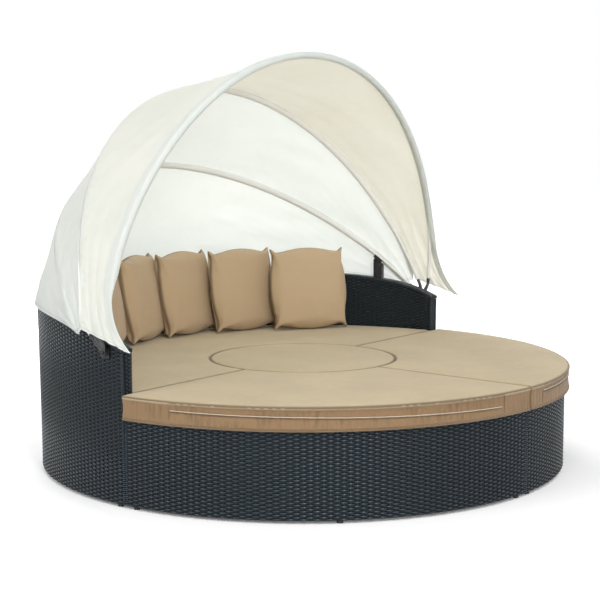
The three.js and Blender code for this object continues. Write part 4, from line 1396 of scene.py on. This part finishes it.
def stuff(piece):
    """Blows a sewn cover up as cloth, and keeps each point near where it was."""
    start = points_of(piece)
    activate(piece)
    bpy.ops.object.modifier_add(type="CLOTH")
    cloth = piece.modifiers[-1]
    settings = cloth.settings
    settings.quality = 6
    settings.tension_stiffness = settings.compression_stiffness = 10
    settings.shear_stiffness = 4
    settings.bending_stiffness = 0.05
    settings.use_pressure = True
    settings.uniform_pressure_force = 1.5
    settings.effector_weights.gravity = 0
    cloth.collision_settings.use_collision = False
    cloth.point_cache.frame_start = 1
    cloth.point_cache.frame_end = STUFFING_FRAMES
    for step in range(1, STUFFING_FRAMES + 1):
        bpy.context.scene.frame_set(step)
    bpy.ops.object.modifier_apply(modifier=cloth.name)
    bpy.context.scene.frame_set(1)
    move = points_of(piece) - start
    length = np.linalg.norm(move, axis=1, keepdims=True)
    set_points(piece, start + move * np.minimum(1, STUFFING_CAP / np.maximum(length, 1e-9)))


class DAYBED_OT_pillows(bpy.types.Operator):
    """Stuff and stand the five throw pillows"""

    bl_idname = "daybed.pillows"
    bl_label = "Throw pillows"

    def execute(self, context):
        for number, pose in enumerate(PILLOW_POSES, start=1):
            add_pillow(number, pose)
        return {"FINISHED"}


def add_pillow(number, pose):
    """One pillow, leaning back at its place round the wall."""
    angle, lean, yaw, setback = pose
    node = f"throw_pillow_{number}"
    piece = pillow_mesh(node + "_cloth", 7.0 * number)
    facing = math.radians(angle + yaw)
    tilt = math.radians(lean)
    across = Vector((-math.sin(facing), math.cos(facing), 0))
    backwards = Vector((math.cos(facing), math.sin(facing), 0))
    up = Vector((0, 0, math.cos(tilt))) + backwards * math.sin(tilt)
    piece.matrix_world = Matrix((across, up, across.cross(up))).transposed().to_4x4()
    apply_place(piece)
    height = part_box(node)[0].z - points_of(piece)[:, 2].min()
    piece.location = polar(WALL_INSIDE - setback, math.radians(angle), height)
    apply_place(piece)
    smooth(piece)
    finish_piece(piece, node, finishes.get("tan_cloth"), [node])


# Canopy cloth

PIVOT = Vector((0, 0.084, 0.573))
CLOTH_OFFSET = 0.0124
CLOTH_THICKNESS = 0.0016
CLOTH_FLARE_RUN = 0.125
BOWS = {
    # name: (angle up from the floor plane, reach, half width)
    "rear": (math.radians(40.7), 1.005, 1.113),
    "middle": (math.radians(66.8), 1.083, 1.1294),
    "front": (math.radians(97.6), 1.127, 1.1458),
}
BOW_STEPS = 30  # straight lengths in each bow
BOW_FLAT_REACH = 0.074  # how far up the flattened ends reach
HEM_HEIGHT = 0.683  # of the lower hem behind the backrest
CLOTH_COLUMNS = 420
CORNERS = {
    # name: (flare outwards, y, z)
    "front_tip": (0.0, -0.090, 0.593),
    "front_corner": (0.015, 0.158, 0.660),
    "middle_corner": (0.007, 0.163, 0.656),
    "rear_corner": (0.001, 0.196, 0.634),
}


def over_bow(bow, angle, shift):
    """Points over a bow, at angles from the right arm over the top to the left."""
    turn, reach, half_width = BOWS[bow]
    out = (reach + CLOTH_OFFSET) * np.sin(angle)
    x = (half_width + CLOTH_OFFSET) * np.cos(angle)
    y = PIVOT.y + out * math.cos(turn) - shift * math.sin(turn)
    z = PIVOT.z + out * math.sin(turn) + shift * math.cos(turn)
    return stacked(x, y, z)


def bow_directions(bow):
    """Up along a bow's plane, and forwards across it."""
    turn = BOWS[bow][0]
    return np.array([0, math.cos(turn), math.sin(turn)]), np.array([0, -math.sin(turn), math.cos(turn)])


def bow_edge(bow, corner, shift, share):
    """The cloth's edge over a bow, flaring at each end to a hanging corner."""
    turn, reach, half_width = BOWS[bow]
    flare, corner_y, corner_z = CORNERS[corner]
    start = math.asin((corner_z - PIVOT.z) / math.sin(turn) / (reach + CLOTH_OFFSET))
    point = over_bow(bow, start + (math.pi - 2 * start) * share, shift)
    end = over_bow(bow, start, shift)
    rise = np.hypot(point[:, 1] - end[1], point[:, 2] - end[2])
    fade = np.exp(-rise / CLOTH_FLARE_RUN)
    side = np.where(share < 0.5, 1, -1)
    point[:, 0] += side * fade * (half_width + CLOTH_OFFSET + flare - end[0])
    point[:, 1] += fade * (corner_y - end[1])
    return point


def hem_edge(share):
    """The lower hem, hanging outside the backrest."""
    start = math.radians(11.4)
    angle = start + (math.pi - 2 * start) * share
    past = np.minimum(angle, math.pi - angle) - start
    radius = CUSHION_REACH - CLOTH_THICKNESS + 0.015 * np.exp(-past / math.radians(15))
    z = HEM_HEIGHT - (HEM_HEIGHT - CORNERS["rear_corner"][2]) * np.exp(-past / math.radians(8))
    return stacked(radius * np.cos(angle), radius * np.sin(angle), z)


def cloth_folds(along, across, height, near_bow, seed):
    """How far the cloth stands out of its plain sweep, in metres, from its places along and across."""
    drape = 0.0075 * soft_noise(stacked(3.2 * along + 2.0 * across, 11.0 * across - 4.5 * along, seed))
    low = 0.0062 * soft_noise(stacked(5.0 * along, 34.0 * across, seed + 7))
    pucker = 0.0024 * soft_noise(stacked(42.0 * along, 6.0 * across, seed + 11))
    drape = drape * (0.55 + 0.8 * np.exp(-height / 0.35))
    return drape + low * np.exp(-height / 0.20) + pucker * np.exp(-near_bow / 0.030)


def cloth_sheet(name, first, second, steps, sag, folds, hems):
    """Cloth between two edges, hanging in and folding towards the arms, before it gets its thickness."""
    share = np.linspace(0, 1, steps + 1)
    across = (0.8 * share + 0.2 * (0.5 - 0.5 * np.cos(math.pi * share)))[:, None]
    points = first * (1 - across[..., None]) + second * across[..., None]
    outward = points - np.array(PIVOT)
    outward /= np.linalg.norm(outward, axis=-1, keepdims=True)
    height = np.maximum(points[..., 2] - PIVOT.z, 0)
    width = np.linalg.norm(second - first, axis=-1)
    along = run_along(first)
    run, place = np.broadcast_arrays(along, across * width)
    near_bow = np.minimum(place, width - place)
    folded = cloth_folds(run, place, height, near_bow, 3.0 * len(name))
    inward_limit = 0.0010 + 0.03 * np.maximum(height - 0.15, 0)
    folded = np.maximum(folded, -inward_limit) * (1 - np.exp(-near_bow / 0.012))
    pleats = 0.007 * np.exp(-height / 0.26) * np.abs(np.sin(folds * 2 * math.pi * across))
    hang = sag * np.minimum(width / 0.52, 1) * np.clip(height / 0.3, 0, 1)
    points = points + outward * (folded + (pleats - hang) * np.sin(math.pi * across))[..., None]
    piece = sheet_mesh(name, points)
    write_uv(piece, stacked(run, place))
    to_end = np.minimum(run, along[-1] - run)
    nearest = np.minimum(to_end, width - place) if "second" in hems else to_end
    write_uv(piece, stacked(np.where(nearest == to_end, place, run), nearest), "hem")
    return piece


# Sections of the bands that hold the bows: places across the bow, and outwards from the cloth
SLEEVE = (
    (-0.0148, -0.0016), (-0.0136, -0.0085), (-0.0106, -0.0172), (-0.0056, -0.0222), (0.0, -0.0236),
    (0.0056, -0.0222), (0.0106, -0.0172), (0.0136, -0.0085), (0.0148, -0.0016),
)
HEM = (
    (-0.0280, -0.0018), (-0.0180, -0.0152), (-0.0095, -0.0218), (0.0, -0.0238), (0.0080, -0.0212),
    (0.0112, -0.0129), (0.0098, -0.0044), (0.0045, 0.0008), (0.0, 0.0024), (-0.0120, 0.0025),
    (-0.0280, 0.0026),
)
BAND_THICKNESS = 0.0012
BAND_FLAT_RUN = 0.20  # how far from its end a band stays flat on the cloth
BAND_CLOSING_RUN = 0.14  # and over what run it then closes round the bow
OUTER_LAYER, INNER_LAYER = 0.0024, -0.0012  # where a flat band lies on either side of the cloth
CLOTH_FALL = 0.2754  # how fast the cloth falls away on either side of a bow's top
LINER_RADIUS, LINER_WAVE = 0.0079, 0.0002
LINER_INSET = 0.2  # part of a straight length that is left bare at each end of a bow
LINER_SIDES = 14
LINER_THICKNESS = 0.0006


def bow_band(bow, corner, section):
    """A sewn band along the cloth's edge, round a bow, that flattens where the cloth leaves the bow."""
    reach, half_width = BOWS[bow][1:]
    name = f"canopy_band_{bow}"
    wraps = section is HEM
    edge = bow_edge(bow, corner, 0, cloth_shares(CLOTH_COLUMNS))
    upward, forward = bow_directions(bow)
    lean = np.arctan2((edge - np.array(PIVOT)) @ upward * half_width / reach, edge[:, 0])
    outward = np.cos(lean)[:, None] * np.array([1.0, 0, 0]) + np.sin(lean)[:, None] * upward
    run = run_along(edge)
    rise = np.minimum(run, run[-1] - run)
    round_bow = np.clip((rise - BAND_FLAT_RUN) / BAND_CLOSING_RUN, 0, 1)
    round_bow = round_bow**2 * (3 - 2 * round_bow)
    taper = 1.0 if wraps else np.clip(rise / 0.06, 0.12, 1)
    slope = CLOTH_FALL * np.abs(np.sin(lean))
    pucker = 0.0009 * soft_noise(stacked(46 * run, 0.0, len(name)))
    rows = []
    around = [0.0]
    for index, (across, depth) in enumerate(section):
        outer = wraps and index > len(section) - 4
        flat = -slope * abs(across) + (OUTER_LAYER if outer else INNER_LAYER)
        on_cloth = outer or index == 0 or (not wraps and index == len(section) - 1)
        full = depth - slope * abs(across) if on_cloth else depth + pucker
        if wraps and across > 0:
            place = across * round_bow + BAND_THICKNESS * (1 - round_bow)
        else:
            place = across * taper
        out = flat + (full - flat) * round_bow
        rows.append(edge + forward * np.reshape(place, (-1, 1)) + outward * out[:, None])
        if index:
            around.append(around[-1] + math.dist((across, depth), section[index - 1]))
    piece = sheet_mesh(name, np.stack(rows))
    run, around = np.broadcast_arrays(run, np.array(around)[:, None])
    from_edge = around if wraps else np.minimum(around, around.max() - around)
    write_uv(piece, stacked(run, around))
    write_uv(piece, stacked(run, from_edge + 0.0145), "hem")
    face_outwards(piece)
    apply_modifier(piece, "SOLIDIFY", thickness=BAND_THICKNESS, offset=0)
    smooth(piece, SHARP_CLOTH)
    finish = finishes.get("canopy_cloth" if wraps else "canopy_band")
    return finish_piece(piece, bow + "_bow", finish)


def bow_liner(bow):
    """The thin sleeve that the tube itself is pushed into, from end to end."""
    reach, half_width = BOWS[bow][1:]
    first = math.asin(BOW_FLAT_REACH / reach)
    bends = np.linspace(first, math.pi - first, BOW_STEPS + 1)
    share = np.linspace(LINER_INSET, BOW_STEPS - LINER_INSET, round((BOW_STEPS - 2 * LINER_INSET) * 10) + 1)
    angle, rise, aside = (
        np.interp(share, np.arange(BOW_STEPS + 1), values)
        for values in (bends, reach * np.sin(bends), half_width * np.cos(bends))
    )
    upward, forward = bow_directions(bow)
    path = np.array(PIVOT) + np.outer(rise, upward)
    path[:, 0] += aside
    outward = np.outer(np.cos(angle) * reach, (1.0, 0, 0)) + np.outer(np.sin(angle) * half_width, upward)
    outward /= np.linalg.norm(outward, axis=1, keepdims=True)
    run = run_along(path)[:, None]
    turned = 2 * math.pi * np.arange(LINER_SIDES) / LINER_SIDES
    radius = LINER_RADIUS + LINER_WAVE * np.sin(2 * math.pi * run / 0.021 + 2 * turned)
    around = np.cos(turned)[:, None] * outward[:, None] + np.sin(turned)[:, None] * forward
    piece = sheet_mesh(f"canopy_liner_{bow}", path[:, None] + around * radius[..., None], closed=True)
    girth = np.arange(LINER_SIDES) * 0.0038
    write_uv(piece, stacked(run, girth))
    write_uv(piece, stacked(run, girth + 1.0), "hem")
    face_outwards(piece)
    apply_modifier(piece, "SOLIDIFY", thickness=LINER_THICKNESS, offset=-1)
    smooth(piece, SHARP_CLOTH)
    return finish_piece(piece, bow + "_bow", finishes.get("canopy_band"))


def cloth_shares(count):
    """Shares along an edge, closer together towards the arms."""
    even = np.linspace(0, 1, count + 1)
    return 0.35 * even + 0.65 * (0.5 - 0.5 * np.cos(math.pi * even))


class DAYBED_OT_canopy(bpy.types.Operator):
    """Hang the three cloths of the canopy over their bows"""

    bl_idname = "daybed.canopy"
    bl_label = "Canopy cloth"

    def execute(self, context):
        share = cloth_shares(CLOTH_COLUMNS)
        rear = bow_edge("rear", "rear_corner", -CLOTH_SEAM, share), hem_edge(share)
        middle = (
            bow_edge("middle", "middle_corner", -CLOTH_SEAM, share),
            bow_edge("rear", "rear_corner", CLOTH_SEAM, share),
        )
        front = (
            bow_edge("front", "front_tip", 0, share),
            bow_edge("middle", "front_corner", CLOTH_SEAM, share),
        )
        for which, edges in (("front", front), ("middle", middle), ("rear", rear)):
            add_cloth(which, edges, *CLOTHS[which])
        return {"FINISHED"}


CLOTH_SEAM = 0.0004  # how far a cloth's edge stays from the middle of its bow
CLOTHS = {
    # corner and section of its band, steps across, sag, folds, hems, and the bows it rests on
    "front": ("front_tip", HEM, 60, 0.010, 2, ("ends",), ("front", "middle")),
    "middle": ("middle_corner", SLEEVE, 48, 0.010, 1, ("ends",), ("middle", "rear")),
    "rear": ("rear_corner", SLEEVE, 48, 0.0, 1, ("ends", "second"), ("rear",)),
}


def add_cloth(which, edges, corner, section, steps, sag, folds, hems, bows):
    """One cloth of the canopy, with its thickness and its bands. A cloth on a single bow rides on that bow; the
    others stay where they are.
    """
    bands = [bow_band(which, corner, section), bow_liner(which)]
    piece = cloth_sheet(f"canopy_cloth_{which}", *edges, steps, sag, folds, hems)
    apply_modifier(piece, "SOLIDIFY", thickness=CLOTH_THICKNESS, offset=1)
    smooth(piece, SHARP_CLOTH)
    inside = [face.normal.dot(face.center - PIVOT) < 0 for face in piece.data.polygons]
    piece.data.materials.clear()
    piece.data.materials.append(finishes.get("canopy_cloth"))
    if which == "front":
        piece.data.materials.append(finishes.get("canopy_lining"))
        piece.data.polygons.foreach_set("material_index", np.array(inside, dtype=np.int32))
    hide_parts("canopy_panel_" + which)
    if len(bows) == 1:
        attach(piece, bows[0] + "_bow")
        return
    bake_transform(piece)


class DAYBED_OT_stage(bpy.types.Operator):
    """Set the camera, the floor and the light"""

    bl_idname = "daybed.stage"
    bl_label = "Stage"

    def execute(self, context):
        settings = context.scene.daybed_stage
        add_camera(context, settings)
        add_floor(settings)
        add_light(context, settings)
        return {"FINISHED"}


def add_camera(context, settings):
    """The camera at the photograph's place."""
    data = bpy.data.cameras.new("camera")
    data.lens = settings.focal_length
    data.sensor_width = 36
    data.clip_end = 200
    camera = bpy.data.objects.new("camera", data)
    context.scene.collection.objects.link(camera)
    camera.location = settings.camera_place
    camera.rotation_euler = (math.pi / 2 - settings.camera_pitch, 0, settings.camera_azimuth)
    context.scene.camera = camera


def add_floor(settings):
    """A wide plain floor."""
    bpy.ops.mesh.primitive_plane_add(size=settings.floor_size)
    floor = bpy.context.object
    floor.name = "floor"
    floor.data.materials.append(finishes.get("floor"))


def add_lamp(name, place, target, size, power):
    """A soft lamp that looks at a point. Its size is its width and height."""
    data = bpy.data.lights.new(name, "AREA")
    data.shape = "RECTANGLE"
    data.size, data.size_y = size
    data.energy = power
    lamp = bpy.data.objects.new(name, data)
    bpy.context.scene.collection.objects.link(lamp)
    lamp.location = place
    lamp.rotation_euler = (Vector(target) - Vector(place)).to_track_quat("-Z", "Y").to_euler()


LAMPS = {
    # name: (place, what it looks at, (width, height))
    "key": ((-2.5, -3.5, 6.5), (0, 0, 0.4), (5.0, 5.0)),
    "fill": ((-6.5, 1.5, 3.5), (0, 0, 0.6), (3.0, 3.0)),
    "back": ((3.2, 5.0, 2.6), (0, 0.5, 0.9), (4.0, 4.0)),
    "front": ((-4.3, -5.1, 2.9), (-0.3, -0.2, 0.4), (0.9, 2.6)),
}


def add_light(context, settings):
    """The four lamps, and an even surround that looks white itself."""
    for name, lamp in LAMPS.items():
        add_lamp(name, *lamp, getattr(settings, name + "_power"))
    world = bpy.data.worlds.new("studio")
    context.scene.world = world
    world.use_nodes = True
    t = Tree(world.node_tree)
    background = world.node_tree.nodes["Background"]
    background.inputs["Color"].default_value = (1, 1, 1, 1)
    path = t.add("LightPath")
    straight = t.math("MAXIMUM", path.outputs["Is Camera Ray"], path.outputs["Is Glossy Ray"])
    straight = t.math("MAXIMUM", straight, path.outputs["Is Transmission Ray"])
    strength = t.span(straight, 0.0, 1.0, settings.world_strength, 1.0)
    t.link(strength, background.inputs["Strength"])
    context.scene.view_settings.view_transform = "Standard"


FRAME_FINISHES = (
    # a part of a node's name, and its finish. The first that fits counts.
    ("_frame", "black_steel"),
    ("pivot_", "black_steel"),
    ("rest_post", "black_steel"),
    ("rest_pad", "pad_rubber"),
    ("canopy_bow", "bow_metal"),
    ("_foot_", "glide_plastic"),
    ("_deck", "deck_weave"),
    ("cushion", "tan_cloth"),
    ("pillow", "tan_cloth"),
    ("panel", "canopy_cloth"),
    ("", "dark_backing"),
)


class DAYBED_OT_metal(bpy.types.Operator):
    """Finish the frame's own pieces: tubes, decks, bolts, posts, pads and glides"""

    bl_idname = "daybed.metal"
    bl_label = "Frame finishes"

    def execute(self, context):
        for name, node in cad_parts.items():
            material = next(finish for part, finish in FRAME_FINISHES if part in name)
            node.data.materials.clear()
            node.data.materials.append(finishes.get(material))
        return {"FINISHED"}


class DAYBED_PT_panel(bpy.types.Panel):
    """Lists the steps that dress the daybed"""

    bl_idname = "DAYBED_PT_panel"
    bl_label = "Daybed"
    bl_space_type = "VIEW_3D"
    bl_region_type = "UI"
    bl_category = "Daybed"

    def draw(self, context):
        for step in STEPS:
            self.layout.operator(step.bl_idname)


STEPS = (
    DAYBED_OT_stage,
    DAYBED_OT_metal,
    DAYBED_OT_ottoman_weave,
    DAYBED_OT_sofa_weave,
    DAYBED_OT_rim,
    DAYBED_OT_cushions,
    DAYBED_OT_pillows,
    DAYBED_OT_canopy,
)
SETTINGS = {
    "daybed_weave": WeaveSettings,
    "daybed_cushions": CushionSettings,
    "daybed_stage": StageSettings,
}


def register():
    """Registers the settings, the steps and the panel."""
    for made in (*SETTINGS.values(), *STEPS, DAYBED_PT_panel):
        bpy.utils.register_class(made)
    for name, made in SETTINGS.items():
        setattr(bpy.types.Scene, name, PointerProperty(type=made))


def unregister():
    """Takes them away again."""
    for name in SETTINGS:
        delattr(bpy.types.Scene, name)
    for made in reversed((*SETTINGS.values(), *STEPS, DAYBED_PT_panel)):
        bpy.utils.unregister_class(made)


def main():
    """Makes the whole daybed."""
    register()
    bpy.ops.daybed.stage()
    bpy.ops.daybed.metal()
    bpy.ops.daybed.ottoman_weave()
    bpy.ops.daybed.sofa_weave()
    bpy.ops.daybed.rim()
    bpy.ops.daybed.cushions()
    bpy.ops.daybed.pillows()
    bpy.ops.daybed.canopy()


finishes = Finishes()

if __name__ == "__main__":
    main()
